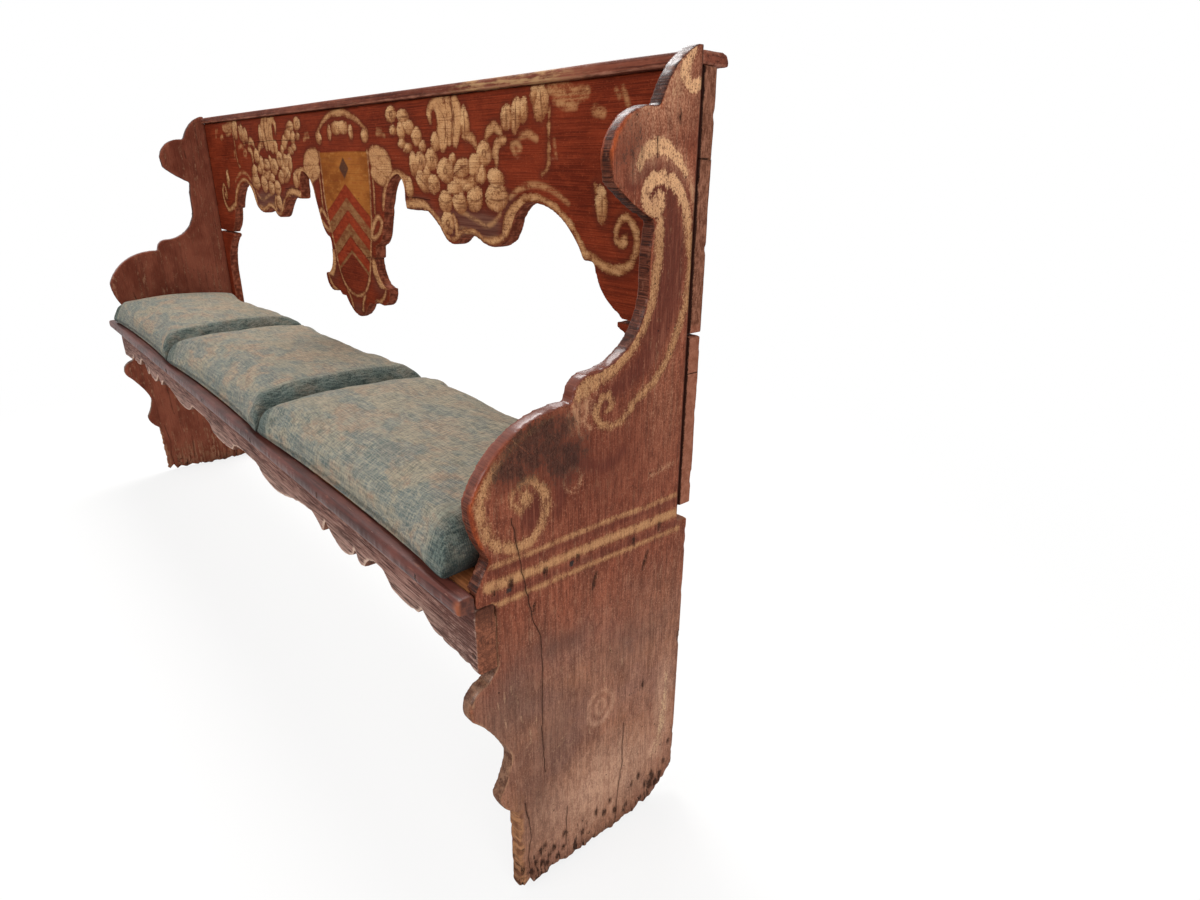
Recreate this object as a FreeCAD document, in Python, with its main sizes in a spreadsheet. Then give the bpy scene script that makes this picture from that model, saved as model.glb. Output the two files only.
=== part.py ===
import FreeCAD, Part
import Sketcher
import math
import os

# A painted plank bench: two sawn end panels carry a seat, a scalloped back and a moulded cap,
# all nailed together, and three loose cushions lie on the seat.
# Millimetres. X runs along the bench, the front faces -Y, and the floor is Z = 0.
# The origin is on the floor, under the middle of the bench.

Vector = FreeCAD.Vector
Rotation = FreeCAD.Rotation

doc = FreeCAD.newDocument("painted_bench")
sheet = doc.addObject("Spreadsheet::Sheet", "sizes")

# Driving dimensions
SIZES = {
    "bench_length": 1920,
    "panel_height": 1040,
    "panel_thick": 20,
    "rebate_depth": 21,
    "rebate_shoulder": 474,
    "worn_heel": 45,
    "seat_height": 488,
    "seat_thick": 20,
    "seat_depth": 316,
    "rear_board_width": 140,
    "housing_depth": 8,
    "nosing_depth": 23,
    "nosing_height": 20,
    "nosing_round": 7,
    "apron_thick": 25,
    "apron_height": 85,
    "rail_thick": 24,
    "rail_height": 80,
    "batten_width": 50,
    "batten_thick": 26,
    "batten_end": 340,
    "back_thick": 25,
    "pendant_thick": 20,
    "plank_joint": 113,
    "pendant_joint": 301,
    "plank_tail": 312,
    "tail_lip": 8,
    "pendant_point": 435,
    "pendant_point_bulge": 7,
    "dowel_diameter": 10,
    "dowel_length": 50,
    "dowel_end": 210,
    "pendant_dowel_spread": 60,
    "cap_thick": 15,
    "cap_drop": 4,
    "cap_front": 10,
    "cap_rear": 18,
    "cap_round": 9,
    "cap_lip_round": 5,
    "stile_gap": 4,
    "stile_foot": 23,
    "nail_length": 45,
    "nail_head": 9,
    "nail_head_thick": 2,
    "nail_shank": 4.5,
    "nail_tip": 2,
    "seat_nail_spread": 45,
    "nosing_nail_end": 90,
    "cap_nail_end": 60,
    "nail_edge": 22,
    "cushion_end_gap": 21,
    "cushion_gap": 4,
    "cushion_overhang": 16,
    "cushion_corner": 40,
    "cushion_draw": 9,
    "cushion_rest": 0.3,
    "cushion_back_gap": 2,
    "ear_lip_reach": 8,
    "ear_lip_drop": 0,
    "ear_lip_bulge": 7,
    "ear_brow_reach": 57,
    "ear_brow_drop": 50,
    "ear_root_reach": 63,
    "ear_root_drop": 63,
    "ear_root_bulge": 17,
    "ear_tip_reach": 130,
    "ear_tip_drop": 110,
    "ear_chin_reach": 128,
    "ear_chin_drop": 137,
    "ear_chin_bulge": 3,
    "ear_notch_reach": 64,
    "ear_notch_drop": 178,
    "ear_notch_bulge": 2,
    "ear_stalk_reach": 70,
    "ear_stalk_drop": 251,
    "ear_stalk_bulge": -24,
    "arm_shoulder_reach": 155,
    "arm_shoulder_rise": 217,
    "arm_shoulder_bulge": 9,
    "arm_elbow_reach": 180,
    "arm_elbow_rise": 187,
    "arm_elbow_bulge": 27,
    "arm_front_reach": 317,
    "arm_front_rise": 103,
    "arm_front_bulge": 5,
    "arm_neck_reach": 296,
    "arm_neck_rise": 35,
    "knee_root_reach": 304,
    "knee_root_drop": 17,
    "knee_root_bulge": 12,
    "knee_front_reach": 328,
    "knee_front_drop": 59,
    "knee_front_bulge": -5,
    "knee_shin_reach": 277,
    "knee_shin_drop": 139,
    "knee_shin_bulge": -4,
    "toe_front_reach": 297,
    "toe_front_rise": 188,
    "toe_front_bulge": 6,
    "toe_ankle_reach": 272,
    "toe_ankle_rise": 150,
    "apron_middle_lobe_out": 62,
    "apron_middle_lobe_rise": 2,
    "apron_middle_step_out": 78,
    "apron_middle_step_rise": 16,
    "apron_middle_step_bulge": -3,
    "apron_inner_flat_out": 150,
    "apron_inner_flat_rise": 24,
    "apron_inner_fall_out": 215,
    "apron_inner_fall_rise": 24,
    "apron_inner_lobe_out": 246,
    "apron_inner_lobe_rise": 8,
    "apron_inner_lobe_bulge": 6,
    "apron_inner_cusp_out": 352,
    "apron_inner_cusp_rise": 6,
    "apron_inner_cusp_bulge": -2,
    "apron_mid_flat_out": 450,
    "apron_mid_flat_rise": 22,
    "apron_mid_fall_out": 478,
    "apron_mid_fall_rise": 25,
    "apron_mid_fall_bulge": -2,
    "apron_mid_lobe_out": 516,
    "apron_mid_lobe_rise": 4,
    "apron_mid_cusp_out": 532,
    "apron_mid_cusp_rise": 29,
    "apron_mid_cusp_bulge": 4,
    "apron_third_lobe_out": 584,
    "apron_third_lobe_rise": 1,
    "apron_third_lobe_bulge": 1,
    "apron_third_step_out": 610,
    "apron_third_step_rise": 3,
    "apron_third_turn_out": 628,
    "apron_third_turn_rise": 11,
    "apron_third_cusp_out": 636,
    "apron_third_cusp_rise": 25,
    "apron_knob_front_out": 644,
    "apron_knob_front_rise": 8,
    "apron_knob_front_bulge": 1,
    "apron_knob_low_out": 662,
    "apron_knob_low_rise": 5,
    "apron_knob_low_bulge": -2,
    "apron_knob_rise_out": 682,
    "apron_knob_rise_rise": 25,
    "apron_outer_flat_out": 698,
    "apron_outer_flat_rise": 31,
    "apron_outer_flat_bulge": -1,
    "apron_outer_fall_out": 727,
    "apron_outer_fall_rise": 30,
    "apron_outer_lobe_out": 748,
    "apron_outer_lobe_rise": 12,
    "apron_outer_lobe_bulge": 3,
    "apron_outer_step_out": 818,
    "apron_outer_step_rise": 11,
    "apron_end_cusp_out": 831,
    "apron_end_cusp_rise": 23,
    "apron_end_cusp_bulge": 2,
    "apron_end_lobe_out": 860,
    "apron_end_lobe_rise": 5,
    "scallop_waist_out": 113,
    "scallop_waist_drop": 276,
    "scallop_waist_bulge": 8,
    "scallop_flank_out": 152,
    "scallop_flank_drop": 243,
    "scallop_arch_foot_out": 173,
    "scallop_arch_foot_drop": 190,
    "scallop_arch_foot_bulge": -13,
    "scallop_arch_top_out": 234,
    "scallop_arch_top_drop": 139,
    "scallop_arch_top_bulge": -9,
    "scallop_arch_hook_out": 253,
    "scallop_arch_hook_drop": 180,
    "scallop_shelf_out": 258,
    "scallop_shelf_drop": 199,
    "scallop_shelf_end_out": 336,
    "scallop_shelf_end_drop": 199,
    "scallop_shelf_end_bulge": -3,
    "scallop_inner_lobe_out": 387,
    "scallop_inner_lobe_drop": 236,
    "scallop_inner_lobe_bulge": 12,
    "scallop_inner_cusp_out": 445,
    "scallop_inner_cusp_drop": 237,
    "scallop_inner_cusp_bulge": -6,
    "scallop_outer_lobe_out": 498,
    "scallop_outer_lobe_drop": 234,
    "scallop_outer_lobe_bulge": 12,
    "scallop_outer_step_out": 580,
    "scallop_outer_step_drop": 228,
    "scallop_great_foot_out": 592,
    "scallop_great_foot_drop": 210,
    "scallop_great_foot_bulge": -9,
    "scallop_great_top_out": 640,
    "scallop_great_top_drop": 172,
    "scallop_great_top_bulge": -20,
    "tail_arch_end_inset": 200,
    "tail_arch_end_drop": 243,
    "tail_step_inset": 179,
    "tail_step_drop": 243,
    "tail_step_bulge": 10,
    "tail_end_inset": 129,
    "tail_end_drop": 305,
    "pendant_tip_out": 59,
    "pendant_tip_drop": 397,
    "pendant_chin_out": 81,
    "pendant_chin_drop": 397,
    "pendant_horn_root_out": 90,
    "pendant_horn_root_drop": 389,
    "pendant_horn_out": 124,
    "pendant_horn_drop": 394,
    "pendant_horn_bulge": 9,
    "pendant_horn_tip_out": 160,
    "pendant_horn_tip_drop": 362,
    "pendant_horn_top_out": 160,
    "pendant_horn_top_drop": 356,
    "pendant_horn_top_bulge": -15,
    "pendant_waist_out": 110,
    "pendant_waist_drop": 306,
    "stile_nose_inset": 129,
    "stile_nose_drop": 8,
    "stile_nose_bulge": -20,
    "stile_waist_inset": 45,
    "stile_waist_drop": 114,
    "cushion_base_inset": 16,
    "cushion_base_height": 0,
    "cushion_belly_inset": 3,
    "cushion_belly_height": 8,
    "cushion_seam_inset": 0,
    "cushion_seam_height": 20,
    "cushion_shoulder_inset": 7,
    "cushion_shoulder_height": 45,
    "cushion_crown_edge_inset": 34,
    "cushion_crown_edge_height": 65,
    "cushion_crown_inset": 92,
    "cushion_crown_height": 75,
}


class Dim:
    """A length and its formula in the names of the sheet."""

    def __init__(self, value, text):
        self.value = value
        self.text = text

    def __add__(self, other):
        other = as_dim(other)
        return Dim(self.value + other.value, f"({self.text} + {other.text})")

    def __sub__(self, other):
        other = as_dim(other)
        return Dim(self.value - other.value, f"({self.text} - {other.text})")

    def __mul__(self, other):
        other = as_dim(other)
        return Dim(self.value * other.value, f"({self.text} * {other.text})")

    def __truediv__(self, other):
        other = as_dim(other)
        return Dim(self.value / other.value, f"({self.text} / {other.text})")

    def __neg__(self):
        return Dim(-self.value, f"(-{self.text})")


def as_dim(number):
    return number if isinstance(number, Dim) else Dim(number, f"{number}")


def size(alias):
    return Dim(float(sheet.get(alias)), f"sizes.{alias}")


for row, (alias, value) in enumerate(SIZES.items(), start=1):
    sheet.set(f"A{row}", alias)
    sheet.set(f"B{row}", str(value))
    sheet.setAlias(f"B{row}", alias)
doc.recompute()

ZERO = as_dim(0)
HALF_LENGTH = size("bench_length") / 2
INNER_FACE = HALF_LENGTH - size("panel_thick")
SEAT_TOP = size("seat_height")
SEAT_UNDER = SEAT_TOP - size("seat_thick")
APRON_LOW = SEAT_UNDER - size("apron_height")
PANEL_TOP = size("panel_height")
CAP_UNDER = PANEL_TOP - size("cap_drop") - size("cap_thick")
BENCH_FRONT = size("seat_depth") + size("nosing_depth")
BENCH_REAR = size("back_thick") + size("cap_rear")
# The rebate plane is the front of the back boards, and the origin is midway front to rear.
REBATE = (BENCH_FRONT - BENCH_REAR) / 2


def reach(distance):
    """The Y of a line that lies this far in front of the back boards."""
    return REBATE - distance


def spread(count, end):
    """Places along the bench, evenly spaced between points this far from its ends."""
    steps = [2 * number / (count - 1) - 1 for number in range(count)]
    return [(HALF_LENGTH - end) * step for step in steps]


def bind(item, **sizes):
    for name, value in sizes.items():
        item.setExpression(name, as_dim(value).text)


def place(item, x=ZERO, y=ZERO, z=ZERO, turn=None):
    item.Placement = FreeCAD.Placement(Vector(x.value, y.value, z.value), turn or Rotation())
    for axis, value in (("x", x), ("y", y), ("z", z)):
        item.setExpression(f"Placement.Base.{axis}", value.text)


def board(label, x, y, z):
    """A plain sawn board between two limits on each axis."""
    item = doc.addObject("Part::Box", label)
    bind(item, Length=x[1] - x[0], Width=y[1] - y[0], Height=z[1] - z[0])
    place(item, x[0], y[0], z[0])
    return item


def new_body(label, x=ZERO, y=ZERO, z=ZERO):
    body = doc.addObject("PartDesign::Body", label)
    place(body, x, y, z)
    return body


def new_sketch(body, role, name, lift=None):
    plane = [item for item in body.Origin.OriginFeatures if item.Role == role][0]
    sketch = body.newObject("Sketcher::SketchObject", name)
    sketch.AttachmentSupport = [(plane, "")]
    sketch.MapMode = "FlatFace"
    if lift is not None:
        sketch.AttachmentOffset = FreeCAD.Placement(Vector(0, 0, lift.value), Rotation())
        sketch.setExpression("AttachmentOffset.Base.z", lift.text)
    return sketch


def draw_outline(sketch, corners):
    """Close the corners with lines and arcs, anticlockwise.

    Each corner is (across, up, bulge): the bulge of the stretch to the next corner is how far
    an arc stands out from the straight line, negative where it cuts in, and None is a line.
    """
    ends = []
    for index, (across, up, bulge) in enumerate(corners):
        next_across, next_up, _ = corners[(index + 1) % len(corners)]
        start = Vector(across.value, up.value, 0)
        end = Vector(next_across.value, next_up.value, 0)
        if bulge is None:
            geometry = sketch.addGeometry(Part.LineSegment(start, end))
            ends.append((geometry, 1, 2))
            continue
        chord = end - start
        depth = abs(bulge.value)
        radius = (chord.Length ** 2 / 4 + depth ** 2) / (2 * depth)
        left = Vector(-chord.y, chord.x, 0).normalize() * (radius - depth)
        centre = (start + end) / 2 + (left if bulge.value > 0 else -left)
        first, last = (start, end) if bulge.value > 0 else (end, start)
        turn = [math.atan2((point - centre).y, (point - centre).x) for point in (first, last)]
        if turn[1] < turn[0]:
            turn[1] += 2 * math.pi
        circle = Part.Circle(centre, Vector(0, 0, 1), radius)
        geometry = sketch.addGeometry(Part.ArcOfCircle(circle, turn[0], turn[1]))
        ends.append((geometry, 1, 2) if bulge.value > 0 else (geometry, 2, 1))
        square = (next_across - across) * (next_across - across)
        square = square + (next_up - up) * (next_up - up)
        rule = (square / 4 + bulge * bulge) / (bulge * (2 if bulge.value > 0 else -2))
        number = sketch.addConstraint(Sketcher.Constraint("Radius", geometry, radius))
        sketch.setExpression(f"Constraints[{number}]", rule.text)
    for index, (across, up, _) in enumerate(corners):
        last, _, last_end = ends[index - 1]
        geometry, start, _ = ends[index]
        sketch.addConstraint(Sketcher.Constraint("Coincident", last, last_end, geometry, start))
        for kind, axis, value in (("DistanceX", -2, across), ("DistanceY", -1, up)):
            if value is ZERO:
                sketch.addConstraint(Sketcher.Constraint("PointOnObject", geometry, start, axis))
                continue
            rule = Sketcher.Constraint(kind, -1, 1, geometry, start, value.value)
            number = sketch.addConstraint(rule)
            sketch.setExpression(f"Constraints[{number}]", value.text)


def outline_points(piece, names, across_word, up_word):
    """The named points of an outline: how far across, how far up, and the bulge to the next."""
    points = {}
    for name in names:
        bulge = f"{piece}_{name}_bulge"
        points[name] = (
            size(f"{piece}_{name}_{across_word}"),
            size(f"{piece}_{name}_{up_word}"),
            size(bulge) if bulge in SIZES else None,
        )
    return points


def pad(body, sketch, length, midplane=False):
    feature = body.newObject("PartDesign::Pad", f"{body.Name}_pad")
    feature.Profile = sketch
    feature.Midplane = midplane
    bind(feature, Length=length)
    sketch.Visibility = False
    return feature


def mirror_pad(body, feature):
    """Repeat a half outline on the other side of the middle of the bench."""
    plane = [item for item in body.Origin.OriginFeatures if item.Role == "YZ_Plane"][0]
    mirror = body.newObject("PartDesign::Mirrored", f"{body.Name}_mirror")
    mirror.Originals = [feature]
    mirror.MirrorPlane = (plane, [""])
    body.Tip = mirror


def mirror_piece(label, source):
    """The left-hand twin of a right-hand piece."""
    twin = doc.addObject("Part::Mirroring", label)
    twin.Source = source
    twin.Normal = Vector(1, 0, 0)
    twin.Base = Vector(0, 0, 0)
    return twin


# End panels: one wide plank each, the front edge sawn to an ear, an armrest and a scrolled foot.
# The back edge is rebated for the back, and the inner face is housed for the seat boards.
# The upper points are measured down from the top of the panel, the arm up from the seat,
# the knee down from the apron and the toe up from the floor.
EAR = outline_points("ear", [
    "lip", "brow", "root", "tip", "chin", "notch", "stalk",
], "reach", "drop")
ARM = outline_points("arm", [
    "shoulder", "elbow", "front", "neck",
], "reach", "rise")
KNEE = outline_points("knee", [
    "root", "front", "shin",
], "reach", "drop")
TOE = outline_points("toe", [
    "front", "ankle",
], "reach", "rise")

panel_outline = new_body("panel_outline", x=INNER_FACE)
panel_sketch = new_sketch(panel_outline, "YZ_Plane", "panel_sketch")
heel = size("worn_heel") - size("rebate_depth")
apron_back = size("seat_depth") - size("apron_thick")
panel_corners = [
    (reach(TOE["ankle"][0]), ZERO, None),
    (reach(heel), ZERO, None),
    (reach(-size("rebate_depth")), size("worn_heel"), None),
    (reach(-size("rebate_depth")), size("rebate_shoulder"), None),
    (REBATE, size("rebate_shoulder"), None),
    (REBATE, PANEL_TOP, None),
]
panel_corners += [(reach(out), PANEL_TOP - drop, bulge) for out, drop, bulge in EAR.values()]
panel_corners += [(reach(out), SEAT_TOP + rise, bulge) for out, rise, bulge in ARM.values()]
panel_corners += [
    (reach(size("seat_depth")), SEAT_TOP, None),
    (reach(size("seat_depth")), SEAT_UNDER, None),
    (reach(apron_back), SEAT_UNDER, None),
    (reach(apron_back), APRON_LOW, None),
]
panel_corners += [(reach(out), APRON_LOW - drop, bulge) for out, drop, bulge in KNEE.values()]
panel_corners += [(reach(out), rise, bulge) for out, rise, bulge in TOE.values()]
draw_outline(panel_sketch, panel_corners)
pad(panel_outline, panel_sketch, size("panel_thick"))

seat_housing = board(
    "seat_housing",
    (INNER_FACE, INNER_FACE + size("housing_depth")),
    (reach(size("seat_depth")), REBATE),
    (SEAT_UNDER, SEAT_TOP),
)
end_panel_right = doc.addObject("Part::Cut", "end_panel_right")
end_panel_right.Base = panel_outline
end_panel_right.Tool = seat_housing
end_panel_left = mirror_piece("end_panel_left", end_panel_right)

# Seat: two boards side by side, their ends let into the panels.
SEAT_END = INNER_FACE + size("housing_depth")
SEAT_JOINT = reach(size("rear_board_width"))
seat_span = (-SEAT_END, SEAT_END)
seat_level = (SEAT_UNDER, SEAT_TOP)
seat_front_board = board(
    "seat_front_board", seat_span, (reach(size("seat_depth")), SEAT_JOINT), seat_level
)
seat_rear_board = board("seat_rear_board", seat_span, (SEAT_JOINT, REBATE), seat_level)

# Nosing: a rounded strip nailed along the front edge of the seat, over the ends of the panels.
seat_nosing = new_body("seat_nosing")
nosing_sketch = new_sketch(seat_nosing, "YZ_Plane", "nosing_sketch")
nosing_low = SEAT_TOP - size("nosing_height")
nosing_face = reach(BENCH_FRONT)
nosing_flat = nosing_face + size("nosing_round")
ROUND_BULGE = 1 - math.cos(math.pi / 4)
nosing_bulge = size("nosing_round") * ROUND_BULGE
draw_outline(nosing_sketch, [
    (reach(size("seat_depth")), nosing_low, None),
    (reach(size("seat_depth")), SEAT_TOP, None),
    (nosing_flat, SEAT_TOP, nosing_bulge),
    (nosing_face, SEAT_TOP - size("nosing_round"), None),
    (nosing_face, nosing_low + size("nosing_round"), nosing_bulge),
    (nosing_flat, nosing_low, None),
])
pad(seat_nosing, nosing_sketch, size("bench_length"), midplane=True)

# Apron: a board under the nosing, lapped into the panels, its lower edge sawn to lobes and cusps.
# Its points run from the middle to the end, measured along the bench and up from its low line.
APRON = outline_points("apron", [
    "middle_lobe", "middle_step", "inner_flat", "inner_fall", "inner_lobe", "inner_cusp",
    "mid_flat", "mid_fall", "mid_lobe", "mid_cusp", "third_lobe", "third_step", "third_turn",
    "third_cusp", "knob_front", "knob_low", "knob_rise", "outer_flat", "outer_fall",
    "outer_lobe", "outer_step", "end_cusp", "end_lobe",
], "out", "rise")
front_apron = new_body("front_apron", y=reach(apron_back))
apron_sketch = new_sketch(front_apron, "XZ_Plane", "apron_sketch")
apron_corners = [(ZERO, APRON_LOW, None)]
apron_corners += [(out, APRON_LOW + rise, bulge) for out, rise, bulge in APRON.values()]
apron_corners += [
    (HALF_LENGTH, APRON_LOW, None),
    (HALF_LENGTH, SEAT_UNDER, None),
    (ZERO, SEAT_UNDER, None),
]
draw_outline(apron_sketch, apron_corners)
mirror_pad(front_apron, pad(front_apron, apron_sketch, size("apron_thick")))

# Seat frame: a rail under the rear edge of the seat, and three battens across its underside.
rear_seat_rail = board(
    "rear_seat_rail",
    (-INNER_FACE, INNER_FACE),
    (reach(size("rail_thick")), REBATE),
    (SEAT_UNDER - size("rail_height"), SEAT_UNDER),
)
PLACES = ("left", "middle", "right")
batten_centres = spread(len(PLACES), size("batten_end"))
battens = []
for side, centre in zip(PLACES, batten_centres):
    battens.append(board(
        f"seat_batten_{side}",
        (centre - size("batten_width") / 2, centre + size("batten_width") / 2),
        (reach(apron_back), reach(size("rail_thick"))),
        (SEAT_UNDER - size("batten_thick"), SEAT_UNDER),
    ))

# Back: an upper plank, a lower plank sawn to scallops, and a pendant that hangs from its middle.
# Joints and points are measured down from the top of the panels and out from the middle.
PLANK_JOINT = PANEL_TOP - size("plank_joint")
PENDANT_JOINT = PANEL_TOP - size("pendant_joint")
PLANK_TAIL = PANEL_TOP - size("plank_tail")
BACK_REAR = REBATE + size("back_thick")
back_level = (REBATE, BACK_REAR)
back_upper_plank = board(
    "back_upper_plank", (-HALF_LENGTH, HALF_LENGTH), back_level, (PLANK_JOINT, CAP_UNDER)
)
SCALLOP = outline_points("scallop", [
    "waist", "flank", "arch_foot", "arch_top", "arch_hook", "shelf", "shelf_end", "inner_lobe",
    "inner_cusp", "outer_lobe", "outer_step", "great_foot", "great_top",
], "out", "drop")
TAIL = outline_points("tail", [
    "arch_end", "step", "end",
], "inset", "drop")
PENDANT = outline_points("pendant", [
    "tip", "chin", "horn_root", "horn", "horn_tip", "horn_top", "waist",
], "out", "drop")

back_lower_plank = new_body("back_lower_plank", y=BACK_REAR)
lower_sketch = new_sketch(back_lower_plank, "XZ_Plane", "lower_plank_sketch")
waist_out = PENDANT["waist"][0]
lower_corners = [(ZERO, PENDANT_JOINT, None), (waist_out, PENDANT_JOINT, None)]
lower_corners += [(out, PANEL_TOP - drop, bulge) for out, drop, bulge in SCALLOP.values()]
lower_corners += [
    (HALF_LENGTH - inset, PANEL_TOP - drop, bulge) for inset, drop, bulge in TAIL.values()
]
lower_corners += [
    (HALF_LENGTH - TAIL["end"][0] + size("tail_lip"), PLANK_TAIL, None),
    (HALF_LENGTH, PLANK_TAIL, None),
    (HALF_LENGTH, PLANK_JOINT, None),
    (ZERO, PLANK_JOINT, None),
]
draw_outline(lower_sketch, lower_corners)
mirror_pad(back_lower_plank, pad(back_lower_plank, lower_sketch, size("back_thick")))

crest_pendant = new_body("crest_pendant", y=REBATE + size("pendant_thick"))
pendant_sketch = new_sketch(crest_pendant, "XZ_Plane", "pendant_sketch")
pendant_corners = [(ZERO, PANEL_TOP - size("pendant_point"), size("pendant_point_bulge"))]
pendant_corners += [(out, PANEL_TOP - drop, bulge) for out, drop, bulge in PENDANT.values()]
pendant_corners += [(waist_out, PENDANT_JOINT, None), (ZERO, PENDANT_JOINT, None)]
draw_outline(pendant_sketch, pendant_corners)
mirror_pad(crest_pendant, pad(crest_pendant, pendant_sketch, size("pendant_thick")))

# Stiles: short shaped boards that close the rebate of each panel below the scalloped plank.
STILE = outline_points("stile", [
    "nose", "waist",
], "inset", "drop")
STILE_TOP = PLANK_TAIL - size("stile_gap")
STILE_FOOT = size("rebate_shoulder") + size("stile_foot")
back_stile_right = new_body("back_stile_right", y=BACK_REAR)
stile_sketch = new_sketch(back_stile_right, "XZ_Plane", "stile_sketch")
stile_corners = [
    (HALF_LENGTH - STILE["waist"][0], STILE_FOOT, None),
    (HALF_LENGTH, STILE_FOOT, None),
    (HALF_LENGTH, STILE_TOP, None),
    (HALF_LENGTH - STILE["nose"][0], STILE_TOP, None),
]
stile_corners += [
    (HALF_LENGTH - inset, STILE_TOP - drop, bulge) for inset, drop, bulge in STILE.values()
]
draw_outline(stile_sketch, stile_corners)
pad(back_stile_right, stile_sketch, size("back_thick"))
back_stile_left = mirror_piece("back_stile_left", back_stile_right)

# Cap: a board along the top of the back. Its front lip lies between the panels,
# and its rounded rear edge runs out to their faces.
back_cap = new_body("back_cap")
cap_top = CAP_UNDER + size("cap_thick")
cap_face = BACK_REAR + size("cap_rear")
cap_flat = cap_face - size("cap_round")
cap_bulge = size("cap_round") * ROUND_BULGE
rear_sketch = new_sketch(back_cap, "YZ_Plane", "cap_rear_sketch")
draw_outline(rear_sketch, [
    (REBATE, CAP_UNDER, None),
    (cap_face, CAP_UNDER, None),
    (cap_face, cap_top - size("cap_round"), cap_bulge),
    (cap_flat, cap_top, None),
    (REBATE, cap_top, None),
])
pad(back_cap, rear_sketch, size("bench_length"), midplane=True)
lip_sketch = new_sketch(back_cap, "YZ_Plane", "cap_lip_sketch")
lip_face = reach(size("cap_front"))
lip_round = size("cap_lip_round")
draw_outline(lip_sketch, [
    (lip_face, CAP_UNDER, None),
    (REBATE, CAP_UNDER, None),
    (REBATE, cap_top, None),
    (lip_face + lip_round, cap_top, lip_round * ROUND_BULGE),
    (lip_face, cap_top - lip_round, None),
])
pad(back_cap, lip_sketch, INNER_FACE * 2, midplane=True)

# Dowels: wooden pegs that hold the edges of the back planks and the pendant together.
BACK_MIDDLE = REBATE + size("back_thick") / 2
dowel_places = [(x, PLANK_JOINT) for x in spread(6, size("dowel_end"))]
dowel_places += [(size("pendant_dowel_spread") * step, PENDANT_JOINT) for step in (-1, 1)]
dowels = []
for number, (out, joint) in enumerate(dowel_places):
    dowel = doc.addObject("Part::Cylinder", f"dowel_{number}")
    bind(dowel, Radius=size("dowel_diameter") / 2, Height=size("dowel_length"))
    place(dowel, out, BACK_MIDDLE, joint - size("dowel_length") / 2)
    dowels.append(dowel)


def group(label, pieces):
    item = doc.addObject("Part::Compound", label)
    item.Links = pieces
    return item


back_dowels = group("back_dowels", dowels)

# Nails: forged, with a flat head driven flush and a tapered shank.
DRIVEN = {
    "right": Rotation(Vector(0, 1, 0), 90),
    "left": Rotation(Vector(0, 1, 0), -90),
    "rear": Rotation(Vector(1, 0, 0), -90),
    "front": Rotation(Vector(1, 0, 0), 90),
    "down": Rotation(Vector(1, 0, 0), 180),
}


def nail(name, driven, x, y, z):
    """One nail whose head lies at the point and whose shank is driven in the named direction."""
    head = doc.addObject("Part::Cone", f"{name}_head")
    bind(head, Radius1=size("nail_head") / 2, Radius2=size("nail_shank") / 2)
    bind(head, Height=size("nail_head_thick"))
    shank = doc.addObject("Part::Cone", f"{name}_shank")
    bind(shank, Radius1=size("nail_shank") / 2, Radius2=size("nail_tip") / 2)
    bind(shank, Height=size("nail_length") - size("nail_head_thick"))
    place(shank, z=size("nail_head_thick"))
    whole = doc.addObject("Part::Fuse", name)
    whole.Base = head
    whole.Tool = shank
    place(whole, x, y, z, DRIVEN[driven])
    return whole


def nails(label, driven_places):
    """A group of nails, each given by the way it is driven and the place of its head."""
    pieces = []
    for number, (driven, x, y, z) in enumerate(driven_places):
        pieces.append(nail(f"{label}_{number}", driven, x, y, z))
    return group(label, pieces)


SIDES = ((1, "left", HALF_LENGTH), (-1, "right", -HALF_LENGTH))
SEAT_MIDDLE = SEAT_UNDER + size("seat_thick") / 2
front_board_middle = (size("seat_depth") + size("rear_board_width")) / 2
seat_nail_reaches = (
    front_board_middle + size("seat_nail_spread"),
    front_board_middle - size("seat_nail_spread"),
    size("rear_board_width") / 2,
)
seat_nails = nails("seat_nails", [
    (driven, face, reach(out), SEAT_MIDDLE)
    for _, driven, face in SIDES
    for out in seat_nail_reaches
])
RAIL_MIDDLE = SEAT_UNDER - size("rail_height") / 2
rail_nails = nails("rail_nails", [
    (driven, face, reach(size("rail_thick") / 2), RAIL_MIDDLE + size("nail_edge") * step)
    for _, driven, face in SIDES
    for step in (-1, 1)
])
PANEL_MIDDLE = HALF_LENGTH - size("panel_thick") / 2
apron_nails = nails("apron_nails", [
    ("rear", PANEL_MIDDLE * side, reach(size("seat_depth")), level)
    for side, _, _ in SIDES
    for level in (SEAT_UNDER - size("nail_edge"), APRON_LOW + size("nail_edge"))
])
nosing_nails = nails("nosing_nails", [
    ("rear", x, nosing_face, SEAT_MIDDLE) for x in spread(7, size("nosing_nail_end"))
])
seat_top_nails = nails("seat_top_nails", [
    ("down", centre, reach(out), SEAT_TOP)
    for centre in batten_centres
    for out in seat_nail_reaches
])
back_nails = nails("back_nails", [
    ("front", PANEL_MIDDLE * side, BACK_REAR, level)
    for side, _, _ in SIDES
    for level in (
        CAP_UNDER - size("nail_edge"),
        PLANK_JOINT + size("nail_edge"),
        PLANK_JOINT - size("nail_edge"),
        PLANK_TAIL + size("nail_edge"),
    )
])
stile_nails = nails("stile_nails", [
    ("front", PANEL_MIDDLE * side, BACK_REAR, level)
    for side, _, _ in SIDES
    for level in (STILE_TOP - size("nail_edge"), STILE_FOOT + size("nail_edge"))
])
cap_nails = nails("cap_nails", [
    ("down", x, BACK_MIDDLE, cap_top) for x in spread(6, size("cap_nail_end"))
])

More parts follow.
